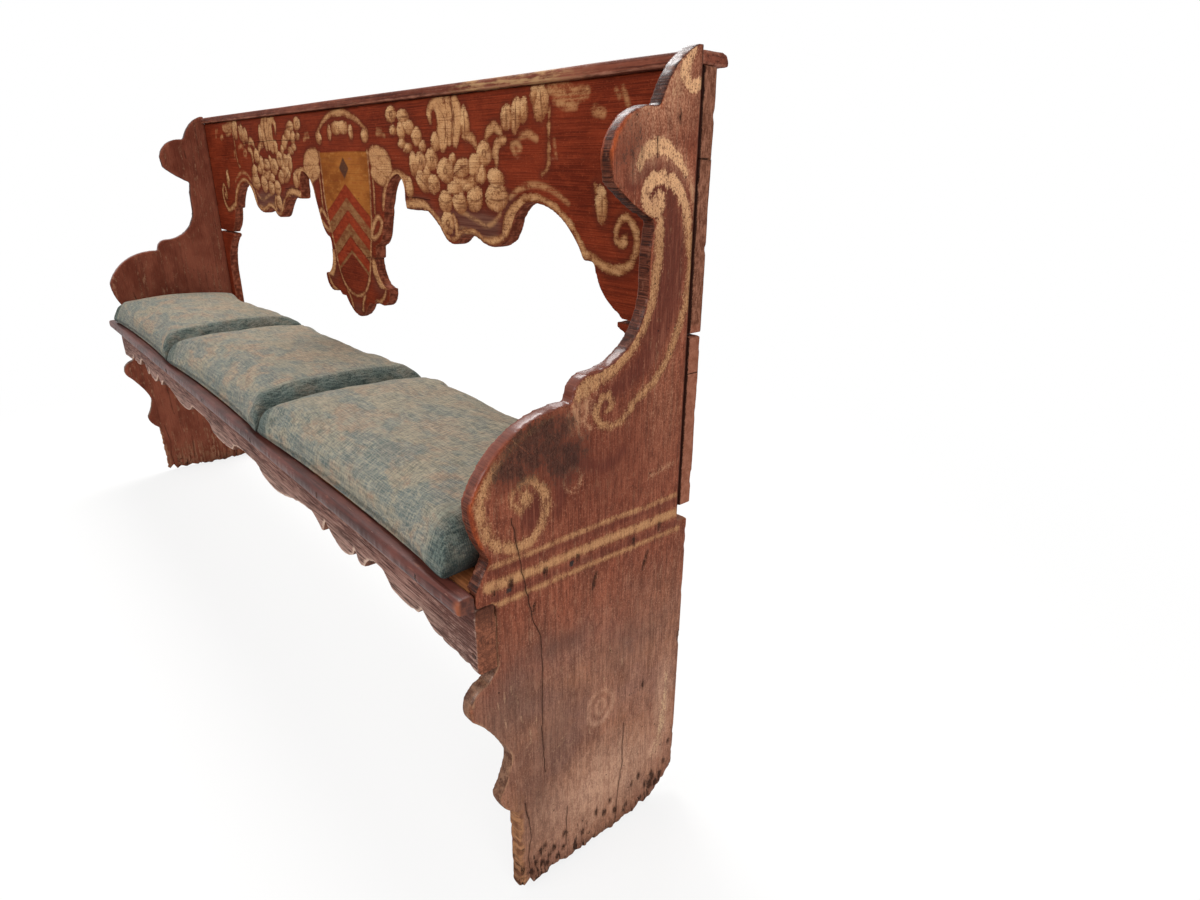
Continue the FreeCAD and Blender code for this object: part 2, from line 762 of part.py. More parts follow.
# Cushions: three loose pads of flock in a woven cover, sewn round the edge and crowned.
# Each is a loft through outlines whose sides draw in between rounded corners.
CUSHION_LAYERS = outline_points("cushion", [
    "base", "belly", "seam", "shoulder", "crown_edge", "crown",
], "inset", "height")
CUSHION_BASE = SEAT_TOP + size("cushion_rest")
CUSHION_FRONT = size("seat_depth") + size("cushion_overhang")
CUSHION_DEPTH = CUSHION_FRONT - size("cushion_back_gap")
CUSHION_MIDDLE = reach(size("cushion_back_gap") + CUSHION_DEPTH / 2)
CUSHION_ROOM = INNER_FACE - size("cushion_end_gap") - size("cushion_gap")
CUSHION_LENGTH = CUSHION_ROOM * 2 / len(PLACES)
CUSHION_PITCH = CUSHION_LENGTH + size("cushion_gap")
CORNER_BULGE = size("cushion_corner") * ROUND_BULGE


def cushion_outline(inset):
    """A rounded rectangle with drawn-in sides, in from the seam by the inset."""
    half_x = CUSHION_LENGTH / 2 - inset
    half_y = CUSHION_DEPTH / 2 - inset
    flat_x = half_x - size("cushion_corner")
    flat_y = half_y - size("cushion_corner")
    draw = -size("cushion_draw")
    return [
        (-flat_x, -half_y, draw), (flat_x, -half_y, CORNER_BULGE),
        (half_x, -flat_y, draw), (half_x, flat_y, CORNER_BULGE),
        (flat_x, half_y, draw), (-flat_x, half_y, CORNER_BULGE),
        (-half_x, flat_y, draw), (-half_x, -flat_y, CORNER_BULGE),
    ]


cushions = []
for side, step in zip(PLACES, (-1, 0, 1)):
    cushion = new_body(
        f"cushion_{side}", x=CUSHION_PITCH * step, y=CUSHION_MIDDLE, z=CUSHION_BASE
    )
    layers = []
    for layer, (inset, height, _) in CUSHION_LAYERS.items():
        sketch = new_sketch(cushion, "XY_Plane", f"cushion_{side}_{layer}", lift=height)
        draw_outline(sketch, cushion_outline(inset))
        layers.append(sketch)
    loft = cushion.newObject("PartDesign::AdditiveLoft", f"cushion_{side}_loft")
    loft.Profile = layers[0]
    loft.Sections = layers[1:]
    loft.Ruled = True
    cushions.append(cushion)

NODES = [
    end_panel_right, end_panel_left,
    seat_front_board, seat_rear_board, seat_nosing, front_apron, rear_seat_rail, *battens,
    back_upper_plank, back_lower_plank, crest_pendant, back_stile_right, back_stile_left,
    back_cap, back_dowels,
    seat_nails, rail_nails, apron_nails, nosing_nails, seat_top_nails,
    back_nails, stile_nails, cap_nails,
    *cushions,
]

doc.recompute()
for item in doc.Objects:
    if {"Invalid", "Error"} & set(item.State):
        raise RuntimeError(f"{item.Label} did not build: {item.State}")
for node in NODES:
    if node.Shape.isNull() or not node.Shape.isValid():
        raise RuntimeError(f"{node.Label} has no valid shape")

os.makedirs("parts", exist_ok=True)
for node in NODES:
    node.Shape.exportStep(f"parts/{node.Label}.step")
    box = node.Shape.BoundBox
    print(
        f"{node.Label:18s} solids {len(node.Shape.Solids):2d} volume {node.Shape.Volume / 1000:9.1f} cm3"
        f"  x {box.XMin:.1f} {box.XMax:.1f}  y {box.YMin:.1f} {box.YMax:.1f}"
        f"  z {box.ZMin:.1f} {box.ZMax:.1f}"
    )
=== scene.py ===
import bmesh
import bpy
import numpy as np
from mathutils import Matrix, Vector, kdtree


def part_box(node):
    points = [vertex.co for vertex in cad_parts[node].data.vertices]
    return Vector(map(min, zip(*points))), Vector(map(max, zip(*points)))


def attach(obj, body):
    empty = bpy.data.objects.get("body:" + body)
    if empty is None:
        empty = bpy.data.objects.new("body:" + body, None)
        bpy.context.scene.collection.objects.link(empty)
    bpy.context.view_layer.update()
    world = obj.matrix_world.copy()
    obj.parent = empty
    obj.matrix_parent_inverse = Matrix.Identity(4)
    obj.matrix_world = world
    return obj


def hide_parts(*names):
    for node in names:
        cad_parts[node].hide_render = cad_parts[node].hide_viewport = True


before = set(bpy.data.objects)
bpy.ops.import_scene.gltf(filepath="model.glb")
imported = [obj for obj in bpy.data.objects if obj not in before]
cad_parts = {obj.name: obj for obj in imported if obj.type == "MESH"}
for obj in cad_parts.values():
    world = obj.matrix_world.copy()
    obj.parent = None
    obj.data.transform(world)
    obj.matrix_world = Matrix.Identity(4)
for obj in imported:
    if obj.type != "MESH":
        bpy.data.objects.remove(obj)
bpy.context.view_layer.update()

# End panels: two wide upright planks with a sawn outline of ear, arm and foot, painted red with
# cream scrolls and three lines at the seat. The seat and apron are let into them and the back lies
# in their rebates. The old paint is rubbed thin, and worms have eaten the feet.
MM = 0.001
PANEL_FACE = 3.2
FAR = 1000.0
OUTSIDE = -20.0
FACE_ON = 0.6


class Wire:
    """One socket of a material. Sums written with it add the nodes that work them out."""

    def __init__(self, tree, socket):
        self.tree = tree
        self.socket = socket

    def node(self, kind, settings=None, values=None, output=0):
        """Adds any other node: its settings first, then the values or links of its sockets."""
        added = self.tree.nodes.new(kind)
        for name, value in (settings or {}).items():
            setattr(added, name, value)
        for key, value in (values or {}).items():
            if isinstance(value, Wire):
                self.tree.links.new(value.socket, added.inputs[key])
            else:
                added.inputs[key].default_value = value
        return Wire(self.tree, added.outputs[output]) if added.outputs else None

    def math(self, operation, first, second=0.0):
        return self.node("ShaderNodeMath", {"operation": operation}, {0: first, 1: second})

    def __add__(self, other):
        return self.math("ADD", self, other)

    __radd__ = __add__

    def __sub__(self, other):
        return self.math("SUBTRACT", self, other)

    def __rsub__(self, other):
        return self.math("SUBTRACT", other, self)

    def __mul__(self, other):
        return self.math("MULTIPLY", self, other)

    __rmul__ = __mul__

    def __abs__(self):
        return self.math("ABSOLUTE", self)

    def least(self, other):
        return self.math("MINIMUM", self, other)

    def most(self, other):
        return self.math("MAXIMUM", self, other)

    def rise(self, low, high):
        """From 0 at low to 1 at high, smoothly, and level on both sides."""
        values = {"Value": self, "From Min": low, "From Max": high}
        return self.node("ShaderNodeMapRange", {"interpolation_type": "SMOOTHSTEP"}, values)

    def fall(self, low, high):
        return 1 - self.rise(low, high)

    def over(self, under, top):
        """The top colour where this mask is 1, and the one under it where it is 0."""
        under, top = (tone if isinstance(tone, Wire) else paint(*tone) for tone in (under, top))
        return self.node("ShaderNodeMix", {"data_type": "RGBA"}, {0: self, 6: under, 7: top}, 2)


def paint(red, green, blue):
    """A colour as it is seen, from 0 to 255, as the light it gives back."""
    shares = [value / 255 for value in (red, green, blue)]
    light = [s / 12.92 if s <= 0.04045 else ((s + 0.055) / 1.055) ** 2.4 for s in shares]
    return (*light, 1.0)


def new_finish(name, settings):
    """A new material, its shader with what is even all over it, and the place in metres."""
    material = bpy.data.materials.new(name)
    material.use_nodes = True
    tree = material.node_tree
    shader = tree.nodes["Principled BSDF"]
    for key, value in settings.items():
        shader.inputs[key].default_value = value
    coordinates = tree.nodes.new("ShaderNodeTexCoord")
    return material, shader, Wire(tree, coordinates.outputs["Object"])


def stepped(place, size):
    """The place in steps of this size in mm along each axis."""
    shares = [1 / (MM * step) for step in size]
    return place.node("ShaderNodeVectorMath", {"operation": "MULTIPLY"}, {0: place, 1: shares})


def mottle(place, size, detail, seed):
    """Cloudy noise from 0 to 1, with blotches of this size in mm along each axis."""
    values = {"Vector": stepped(place, size), "W": seed, "Scale": 1.0}
    values.update({"Detail": detail, "Roughness": 0.62})
    return place.node("ShaderNodeTexNoise", {"noise_dimensions": "4D"}, values)


def worm_holes(place, spacing, radius, seed):
    """Small round flight holes, 1 inside a hole, one near each cell of this spacing."""
    values = {"Vector": stepped(place, [spacing] * 3), "W": seed, "Scale": 1.0, "Randomness": 1.0}
    near = place.node("ShaderNodeTexVoronoi", {"voronoi_dimensions": "4D"}, values)
    return near.fall(0.6 * radius / spacing, radius / spacing)


def noted(place, name):
    """A value that was noted on the piece's points."""
    return place.node("ShaderNodeAttribute", {"attribute_name": name}, output=2)


def part_of(place, axis):
    """One coordinate of the place, in mm."""
    return place.node("ShaderNodeSeparateXYZ", values={0: place}, output="XYZ".index(axis)) * 1000


def turned(place, angle):
    """The place turned about the bench's length, by an angle in radians."""
    values = {"Vector": place, "Angle": angle}
    return place.node("ShaderNodeVectorRotate", {"rotation_type": "X_AXIS"}, values)


def glaze(under, coats):
    """Lays thin coats one over another: where each is, how strong, and its colour."""
    for where, share, tone in coats:
        mask = where if share == 1 else where * share
        under = mask.over(under, tone)
    return under


def lay_on(shader, colour, roughness, height, depth):
    """Links a finish to its shader, with the surface's own relief, its depth in mm."""
    tree = colour.tree
    tree.links.new(colour.socket, shader.inputs["Base Color"])
    tree.links.new(roughness.socket, shader.inputs["Roughness"])
    values = {"Height": height, "Strength": 1.0, "Distance": depth * MM}
    relief = colour.node("ShaderNodeBump", values=values)
    tree.links.new(relief.socket, shader.inputs["Normal"])


def set_up(name, data):
    """A new object in the scene."""
    made = bpy.data.objects.new(name, data)
    bpy.context.scene.collection.objects.link(made)
    return made


def fine_board(name, node, face, eased=3):
    """A board's solid in fine even faces of this size in mm, its sharp edges eased."""
    piece = set_up(name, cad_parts[node].data.copy())
    remesh = piece.modifiers.new("faces", "REMESH")
    remesh.mode = "VOXEL"
    remesh.voxel_size = face * MM
    remesh.use_smooth_shade = True
    ease = piece.modifiers.new("ease", "SMOOTH")
    ease.factor = 0.5
    ease.iterations = eased
    graph = bpy.context.evaluated_depsgraph_get()
    fine = bpy.data.meshes.new_from_object(piece.evaluated_get(graph))
    piece.modifiers.clear()
    piece.data = fine
    fine.materials.clear()
    return piece


def read(mesh, what):
    """What each of a mesh's points has: its place in metres or its normal."""
    flat = np.empty(3 * len(mesh.vertices))
    mesh.vertices.foreach_get(what, flat)
    return flat.reshape(-1, 3)


def move_to(piece, points):
    piece.data.vertices.foreach_set("co", (points * MM).ravel())
    piece.data.update()


def note(piece, name, values):
    """Notes one value on each of the piece's points, for its finish to read."""
    found = piece.data.attributes.new(name, "FLOAT", "POINT")
    found.data.foreach_set("value", np.asarray(values, np.float32))


def drift(points, cell, seed):
    """Smooth seeded noise from -1 to 1 over points in mm, its lumps as large as the cell."""
    table = np.random.default_rng(seed).uniform(-1, 1, 4096)
    scaled = points / np.asarray(cell, float)
    base = np.floor(scaled).astype(np.int64)
    part = scaled - base
    part = part * part * (3 - 2 * part)
    total = np.zeros(len(points))
    for corner in range(8):
        step = np.array([corner & 1, corner >> 1 & 1, corner >> 2 & 1])
        where = base + step
        mixed = where[:, 0] * 73856093 ^ where[:, 1] * 19349663 ^ where[:, 2] * 83492791
        weight = np.prod(np.where(step == 1, part, 1 - part), axis=1)
        total += weight * table[mixed & 4095]
    return total


SHARP_TURN = 0.7
MARK_STEP = 2.0


def sharp_points(node, wanted=None):
    """Points close together along the sharp edges of a solid, in mm, and only the wanted ones."""
    solid = bmesh.new()
    solid.from_mesh(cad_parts[node].data)
    bmesh.ops.remove_doubles(solid, verts=solid.verts, dist=0.01 * MM)
    found = []
    for edge in solid.edges:
        if len(edge.link_faces) == 2 and edge.calc_face_angle(0) > SHARP_TURN:
            ends = np.array([vertex.co for vertex in edge.verts]) / MM
            count = int(np.linalg.norm(ends[1] - ends[0]) / MARK_STEP) + 2
            found.append(np.linspace(ends[0], ends[1], count))
    solid.free()
    found = np.concatenate(found)
    return found if wanted is None else found[wanted(found)]


def nearness(points, marks, limit=40.0):
    """How far each point is from the nearest of the marks, in mm."""
    tree = kdtree.KDTree(len(marks))
    for index, mark in enumerate(marks):
        tree.insert(mark, index)
    tree.balance()
    return np.minimum([tree.find(point)[2] for point in points], limit)


def brush_line(corners, steps=8):
    """A smooth line through the corners of a brush stroke."""
    corners = np.array(corners, float)
    ends = np.vstack([2 * corners[0] - corners[1], corners, 2 * corners[-1] - corners[-2]])
    line = []
    for a, b, c, d in zip(ends, ends[1:], ends[2:], ends[3:]):
        for t in np.arange(steps) / steps:
            bend = (2 * a - 5 * b + 4 * c - d) * t * t + (3 * b - a - 3 * c + d) * t ** 3
            line.append(b + 0.5 * ((c - a) * t + bend))
    return np.array([*line, corners[-1]])


STROKE_REACH = 30.0


def stroke(spots, corners, *widths):
    """How deep each spot lies inside a brush stroke, in mm, and less than 0 outside it."""
    line = brush_line(corners)
    half = np.interp(np.linspace(0, 1, len(line)), np.linspace(0, 1, len(widths)), widths) / 2
    depth = np.full(len(spots), -FAR)
    low, high = line.min(0) - STROKE_REACH, line.max(0) + STROKE_REACH
    near = np.flatnonzero(np.all((spots > low) & (spots < high), axis=1))
    for start, end, wide in zip(line, line[1:], half):
        run = end - start
        along = np.clip((spots[near] - start) @ run / max(run @ run, 1e-9), 0, 1)
        away = np.linalg.norm(spots[near] - start - along[:, None] * run, axis=1)
        depth[near] = np.maximum(depth[near], wide - away)
    return depth


def dab(spots, centre, radii, tilt=0.0):
    """How deep each spot lies inside an oval dab of the brush, its tilt in degrees."""
    turn = np.radians(tilt)
    away = spots - np.array(centre, float)
    along = away @ np.array([np.cos(turn), np.sin(turn)])
    across = away @ np.array([-np.sin(turn), np.cos(turn)])
    return (1 - np.hypot(along / radii[0], across / radii[1])) * min(radii)


def ring(spots, centre, radii, width, tilt=0.0):
    """How deep each spot lies inside a painted ring."""
    inside = dab(spots, centre, radii, tilt)
    return width / 2 - np.abs(inside - width / 2)


SPLIT_REACH = 6.0


def split_along(along, across, runs):
    """How far each point is from the nearest split, less than 0 on one side of it, in mm."""
    found = np.full(len(along), FAR)
    for run in runs:
        run = np.array(run, float)
        away = across - np.interp(along, run[:, 0], run[:, 1])
        near = (along > run[0, 0]) & (along < run[-1, 0]) & (np.abs(away) < SPLIT_REACH)
        found = np.where(near & (np.abs(away) < np.abs(found)), away, found)
    return found


CHIP_REACH = 7.0
CHIP_DEPTH = 3.6
JOINT_REACH = 9.0
JOINT_WHOLE = 12.0


def aged_board(name, node, face, across, along, hand, seed, joints=(), eased=3):
    """A fine board with sawn edges, a wavy face and chipped corners, and the notes that go with it.

    The axis across is its thickness, the axis along its grain, and hand the way its face looks.
    Each glued joint is an axis, a place on it, a way to run past it, so that no groove opens, and
    how far along the board it stays shut."""
    piece = fine_board(name, node, face, eased)
    points = read(piece.data, "co") / MM
    for axis, joint, run, end in joints:
        near = np.clip(1 - np.abs(points[:, axis] - joint) / JOINT_REACH, 0, 1)
        points[:, axis] += run * near * (np.abs(points[:, along]) < end)
    normals = read(piece.data, "normal")
    turn = normals[:, across] * hand
    edge = nearness(points, sharp_points(node))
    on_edge = np.clip(1 - np.abs(turn) * 1.6, 0, 1)
    tooth, wave, chip = np.full(3, 6.0), np.full(3, 30.0), np.full(3, 12.0)
    tooth[across] = 80
    wave[along] = 160
    saw = drift(points, tooth, seed) * 0.55 + drift(points, tooth * 2.8, seed + 1) * 0.6
    bow = drift(points, wave, seed + 2) * 0.5
    near_edge = np.clip(1 - edge / CHIP_REACH, 0, 1)
    chips = np.clip(drift(points, chip, seed + 3) - 0.35, 0, 1) * near_edge
    for axis, joint, run, end in joints:
        closed = np.clip(1 - np.abs(points[:, axis] - joint) / JOINT_WHOLE, 0, 1)
        chips *= 1 - closed * (np.abs(points[:, along]) < end)
    height = saw * on_edge + bow * (1 - on_edge) - CHIP_DEPTH * chips
    note(piece, "turn", turn)
    note(piece, "edge", edge)
    note(piece, "lift", normals[:, 2])
    return piece, points, points + normals * height[:, None], normals, turn, edge


def fit(piece, body, material, slot, *nodes):
    """Puts the finish on a piece, and the piece in the place of its solids."""
    piece.data.materials.append(material)
    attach(piece, body)
    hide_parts(*nodes)


def fit_board(finish, slot, name, node, *shape, **more):
    """An aged board that needs no marks of its own, fitted to the bench."""
    piece, _, moved = aged_board(name, node, *shape, **more)[:3]
    move_to(piece, moved)
    fit(piece, "bench", finish, slot, node)


ARM_LOW, ARM_HIGH, ARM_REAR = 505, 735, 40
REBATE_Y, SHOULDER_TOP = 136, 485
FOOT_TOP = 150
EAR_CROWN = [(56, 918), (63, 929), (73, 936), (87, 939), (102, 935), (116, 925), (128, 911)]
CROWN_SHADE = [(46, 900), (60, 914), (82, 922), (106, 916), (126, 892), (134, 860)]
TOP_SCROLL = [(133, 1033), (123, 1022), (119, 1011), (123, 1003), (133, 999), (143, 1002)]
REAR_CURVE = [(143, 228), (142, 184), (138, 142), (129, 104), (118, 86)]
CROWN_GLOW = [(50, 910), (63, 929), (87, 939), (116, 925), (134, 904)]
EAR_RUB = [(34, 972), (14, 952), (4, 922), (12, 896), (34, 878)]
ARM_RUB = [(-120, 655), (-145, 638), (-165, 610), (-170, 575), (-164, 545)]
EAR_SCROLL = [
    (88, 886), (91, 879), (85, 872), (76, 873), (69, 881), (67, 892), (73, 902), (84, 908),
    (97, 907), (109, 902), (120, 892), (129, 878), (136, 862), (140, 843), (143, 821), (144, 799),
    (142, 777), (137, 757), (131, 740), (125, 723), (117, 708), (107, 694), (93, 680), (77, 668),
    (61, 659), (53, 649), (41, 640), (26, 637), (12, 641), (3, 650), (1, 662), (7, 673), (17, 676),
    (24, 670), (23, 661), (15, 658),
]
EDGE_BAND = [
    (92, 862), (92, 840), (91, 818), (89, 797), (85, 778), (78, 760), (68, 744), (56, 729),
    (42, 717), (25, 707), (8, 700), (-10, 694), (-24, 684),
]
ARM_SCROLL = [
    (-62, 667), (-85, 660), (-105, 650), (-122, 639), (-137, 626), (-149, 611), (-155, 594),
    (-156, 576), (-152, 557), (-143, 542), (-129, 532), (-112, 527), (-95, 530), (-83, 538),
    (-75, 550), (-72, 565), (-74, 581), (-81, 594), (-91, 602), (-102, 603), (-112, 597),
    (-117, 587), (-114, 577), (-106, 571), (-98, 574),
]
INNER_SHADE = [
    (108, 884), (116, 858), (119, 828), (117, 795), (111, 766), (100, 738), (80, 712), (52, 690),
    (22, 677), (-2, 668),
]
PANEL_SPLITS = [
    [(-20, -104), (60, -109), (90, -104), (120, -107), (160, -112)],
    [(0, 47), (60, 52), (110, 58), (190, 60)],
    [(30, -46), (70, -44), (105, -43)],
    [(186, -80), (225, -81), (262, -83), (300, -82), (330, -81), (365, -81), (398, -83), (420, -91),
     (445, -97), (480, -104), (510, -109), (540, -114), (566, -119)],
    [(385, -143), (430, -146), (462, -146)],
    [(926, 84), (936, 83), (950, 83)],
]
PITS = [
    (10, 53, 3.6), (26, 42, 3.8), (38, 58, 2.4), (47, 32, 4.4), (-48, 57, 3), (-66, 44, 3.6),
    (-74, 36, 2.4), (-50, 31, 3), (-15, 33, 2.4), (94, 67, 3), (81, 61, 2), (71, 27, 2.4),
    (110, 40, 3), (122, 54, 2.8), (121, 33, 6), (132, 27, 5), (142, 38, 5), (148, 62, 2.4),
    (126, 45, 4), (-88, 56, 3), (-82, 60, 2.4), (-96, 40, 3), (-86, 30, 3.4), (-104, 24, 4),
    (-118, 42, 3), (95, 235, 3), (166, 285, 5), (100, 15, 3), (-78, 22, 4), (-60, 18, 4),
    (-145, 482, 2), (-122, 485, 3), (-75, 482, 2.4), (-25, 482, 2), (67, 474, 2.6),
    (112, 480, 2.2), (116, 968, 2.2), (156, 96, 2.4), (30, 893, 1.8),
]
SCARS = [
    [(4, 452), (1, 440), (-1, 430)], [(94, 450), (90, 438), (87, 425)], [(-90, 446), (-93, 432)],
    [(150, 930), (151, 905)],
]
SCRATCHES = [
    [(-136, 345), (-135, 330)], [(-126, 350), (-125, 335)], [(-119, 334), (-117, 312)],
    [(-146, 337), (-143, 322)], [(-114, 300), (-111, 285)], [(-137, 310), (-134, 290)],
    [(-109, 245), (-96, 251)], [(-106, 230), (-97, 238)], [(-103, 250), (-97, 260)],
    [(-91, 230), (-88, 240)],
    [(-66, 213), (-46, 220)], [(-102, 275), (-99, 260)], [(-92, 288), (-90, 275)],
    [(-66, 190), (-52, 197)], [(-42, 205), (-30, 210)], [(-52, 225), (-42, 230)],
    [(30, 330), (33, 318)], [(52, 300), (54, 286)], [(20, 290), (22, 276)], [(-6, 215), (-2, 204)],
]
COMBED = [
    [(-32, 694), (-24, 672)], [(-28, 690), (-12, 668)], [(-20, 698), (-9, 676)],
    [(-36, 680), (-22, 656)], [(-26, 666), (-8, 642)], [(-14, 688), (-3, 666)],
    [(-32, 654), (-18, 634)], [(-8, 694), (0, 682)], [(-40, 664), (-34, 640)],
]
FOOT_WEAR = [
    (-160, 16), (-140, 16), (-128, 9), (-116, 14), (-108, 22), (-100, 5), (-88, 11), (-74, 7),
    (-58, 12), (-44, 7), (-20, 6), (-4, 3), (18, 5), (40, 1), (62, 6), (84, 2), (104, 7),
    (122, 6), (136, 12), (150, 8), (168, 14),
]


def painted_panel(side, hand, seed):
    """One end panel; hand is 1 on the right and -1 on the left."""
    node = f"end_panel_{side}"
    board = aged_board(f"panel_{side}", node, PANEL_FACE, 0, 2, hand, seed)
    piece, points, moved, normals, turn, edge = board
    y, z = points[:, 1], points[:, 2]
    rubbed = np.clip((z - ARM_LOW) / 30, 0, 1) * np.clip((ARM_HIGH - z) / 40, 0, 1)
    rubbed = rubbed * np.clip((ARM_REAR - y) / 30, 0, 1)
    moved += (points - moved) * (0.95 * rubbed)[:, None]
    against_back = np.clip((y - REBATE_Y) / 6, 0, 1) * (z > SHOULDER_TOP)
    moved += (points - moved) * (0.9 * against_back)[:, None]
    low = np.clip(1 - z / 70, 0, 1)
    eaten = np.clip(drift(points, (16, 9, 15), seed + 4) - 0.1, 0, 1) * low
    eaten = eaten * np.clip(1 - edge / 16, 0, 1)
    moved -= normals * (6 * eaten)[:, None]
    grooves = np.clip(drift(points, (6, 5, 60), seed + 9) - 0.3, 0, 1)
    grooves = grooves * np.clip(1.3 - z / 75, 0, 1)
    moved -= normals * (3.4 * grooves)[:, None]
    frayed = np.clip((FOOT_TOP - z) / 30, 0, 1) * np.clip(-normals[:, 1], 0, 1)
    moved -= normals * (frayed * (1.5 + 2.6 * drift(points, (22, 9, 8), seed + 10)))[:, None]
    lift = np.interp(y, *np.array(FOOT_WEAR, float).T)
    lift = lift + 2.2 * drift(points, (25, 5, 60), seed + 5)
    moved[:, 2] += np.clip(lift, 0, None) * np.clip(1 - z / 55, 0, 1) ** 1.5
    moved[:, 2] = np.maximum(moved[:, 2], 0)
    loose = np.stack([drift(points, (60, 45, 45), seed + step) for step in (6, 7)], 1)
    spots = np.stack([y, z], axis=1) + 1.3 * loose
    cream = np.max([
        stroke(spots, EAR_SCROLL, 13, 14, 15, 15, 13, 13, 13, 12, 11, 10, 11, 11, 8),
        stroke(spots, EAR_CROWN, 12, 19, 18, 10) - 1.4,
        stroke(spots, EDGE_BAND, 13, 18, 18, 17, 17, 19, 22, 24, 20) - 0.8,
        stroke(spots, ARM_SCROLL, 6, 13, 17, 18, 17, 16, 15, 15, 15, 13, 11, 10) - 0.2,
        stroke(spots, TOP_SCROLL, 6, 9, 8) + 2.2,
        stroke(spots, [(-152, 490.5), (-100, 490), (0, 490), (148, 490)], 18, 16, 17) - 1.4,
        stroke(spots, [(-150, 466), (0, 466), (152, 465)], 8, 7, 7) + 0.2,
        stroke(spots, [(-148, 514), (0, 515), (142, 516)], 7) + 0.2,
        dab(spots, (87, 885), (10, 11)),
        dab(spots, (-99, 584), (12, 12)),
        stroke(spots, REAR_CURVE, 4, 9, 12, 9, 4) - 0.6,
    ], axis=0)
    faint = np.max([
        *[stroke(spots, line, 3, 4.4, 3) for line in COMBED],
        ring(spots, (-34, 586), (15, 17), 5) - 2,
        stroke(spots, [(92, 557), (110, 560), (132, 563)], 4),
        stroke(spots, [(128, 911), (141, 893), (148, 868), (151, 840)], 6, 9, 6, 4),
        dab(spots, (-22, 668), (24, 36)) - 11,
        stroke(spots, [(108, 1006), (112, 996), (104, 990)], 6, 9, 5),
    ], axis=0)
    pale = np.max([
        stroke(spots, CROWN_GLOW, 26, 46, 42, 24) / 17,
        ring(spots, (15, 240), (29, 33), 13) / 9,
        ring(spots, (15, 240), (13, 17), 9) / 6,
        dab(spots, (70, 985), (100, 56)) / 44,
        dab(spots, (110, 1005), (50, 60)) / 50,
        dab(spots, (20, 100), (150, 100)) / 80,
        dab(spots, (40, 118), (90, 40)) / 30,
        dab(spots, (122, 100), (30, 34)) / 26,
        dab(spots, (140, 180), (26, 120)) / 26,
        dab(spots, (110, 640), (46, 110)) / 150,
    ], axis=0)
    shade = np.max([
        stroke(spots, INNER_SHADE, 18, 30, 34, 32, 26, 18),
        stroke(spots, [(-40, 628), (-24, 606), (0, 594), (26, 592), (46, 602)], 12, 18, 20, 10),
        stroke(spots, [(-46, 598), (-50, 575), (-56, 550)], 24, 20, 10),
        dab(spots, (-88, 566), (22, 26)),
        stroke(spots, CROWN_SHADE, 16, 22, 18, 12),
        dab(spots, (84, 890), (26, 26)),
        stroke(spots, [(104, 860), (104, 820), (98, 780), (84, 740)], 22, 30, 24),
        stroke(spots, [(-150, 507), (0, 507), (140, 508)], 9) - 1,
        stroke(spots, [(-150, 475), (0, 474), (150, 474)], 9) - 1,
    ], axis=0)
    smudge = np.max([
        dab(spots, (-84, 640), (66, 34), 14) / 13,
        dab(spots, (-46, 618), (50, 42), 0) / 30,
        dab(spots, (-112, 624), (40, 38), 30) / 26,
        dab(spots, (44, 936), (42, 46)) / 70,
    ], axis=0)
    dusk = np.max([
        0.5 * dab(spots, (40, 590), (150, 90)) / 90,
        0.8 * dab(spots, (-58, 374), (84, 26), -8) / 26,
        0.7 * dab(spots, (-130, 325), (80, 130)) / 80,
        0.6 * dab(spots, (-70, 235), (90, 120)) / 90,
        0.6 * dab(spots, (-95, 160), (56, 120)) / 56,
        0.5 * dab(spots, (112, 800), (24, 90)) / 24,
        0.5 * dab(spots, (60, 330), (90, 60)) / 60,
    ], axis=0)
    graze = np.max([stroke(spots, line, 1.8, 2.8, 1.8) for line in SCRATCHES], axis=0)
    ember = np.max([
        stroke(spots, EAR_RUB, 28, 42, 34, 16, 4) / 8,
        stroke(spots, ARM_RUB, 12, 22, 30, 28) / 7,
        stroke(spots, [(-150, 470), (-158, 500)], 8, 4) / 6,
        stroke(spots, [(-184, 350), (-176, 320)], 8, 5) / 6,
    ], axis=0)
    pit = np.max(
        [dab(spots, centre, (0.75 * radius, 1.5 * radius)) for *centre, radius in PITS]
        + [stroke(spots, line, 1.6, 3, 1.6) for line in SCARS],
        axis=0,
    )
    outer = turn > FACE_ON
    moved -= normals * (2.2 * np.clip(pit / 2, 0, 1) * outer)[:, None]
    move_to(piece, moved)
    depths = {"cream": cream, "faint": faint, "shade": shade, "graze": graze, "pit": pit}
    for word, values in depths.items():
        note(piece, word, np.where(outer, np.maximum(values, OUTSIDE), OUTSIDE))
    for word, values in {"smudge": smudge, "dusk": dusk, "pale": pale}.items():
        note(piece, word, np.where(outer, np.clip(values, 0, 1), 0))
    note(piece, "ember", np.where(turn > -0.3, np.clip(ember, 0, 1), 0))
    ragged = y + 1.2 * drift(points, (60, 60, 9), seed + 8)
    note(piece, "split", split_along(z, ragged, PANEL_SPLITS))
    fit(piece, "bench", panel_finish, "painted_wood", node)


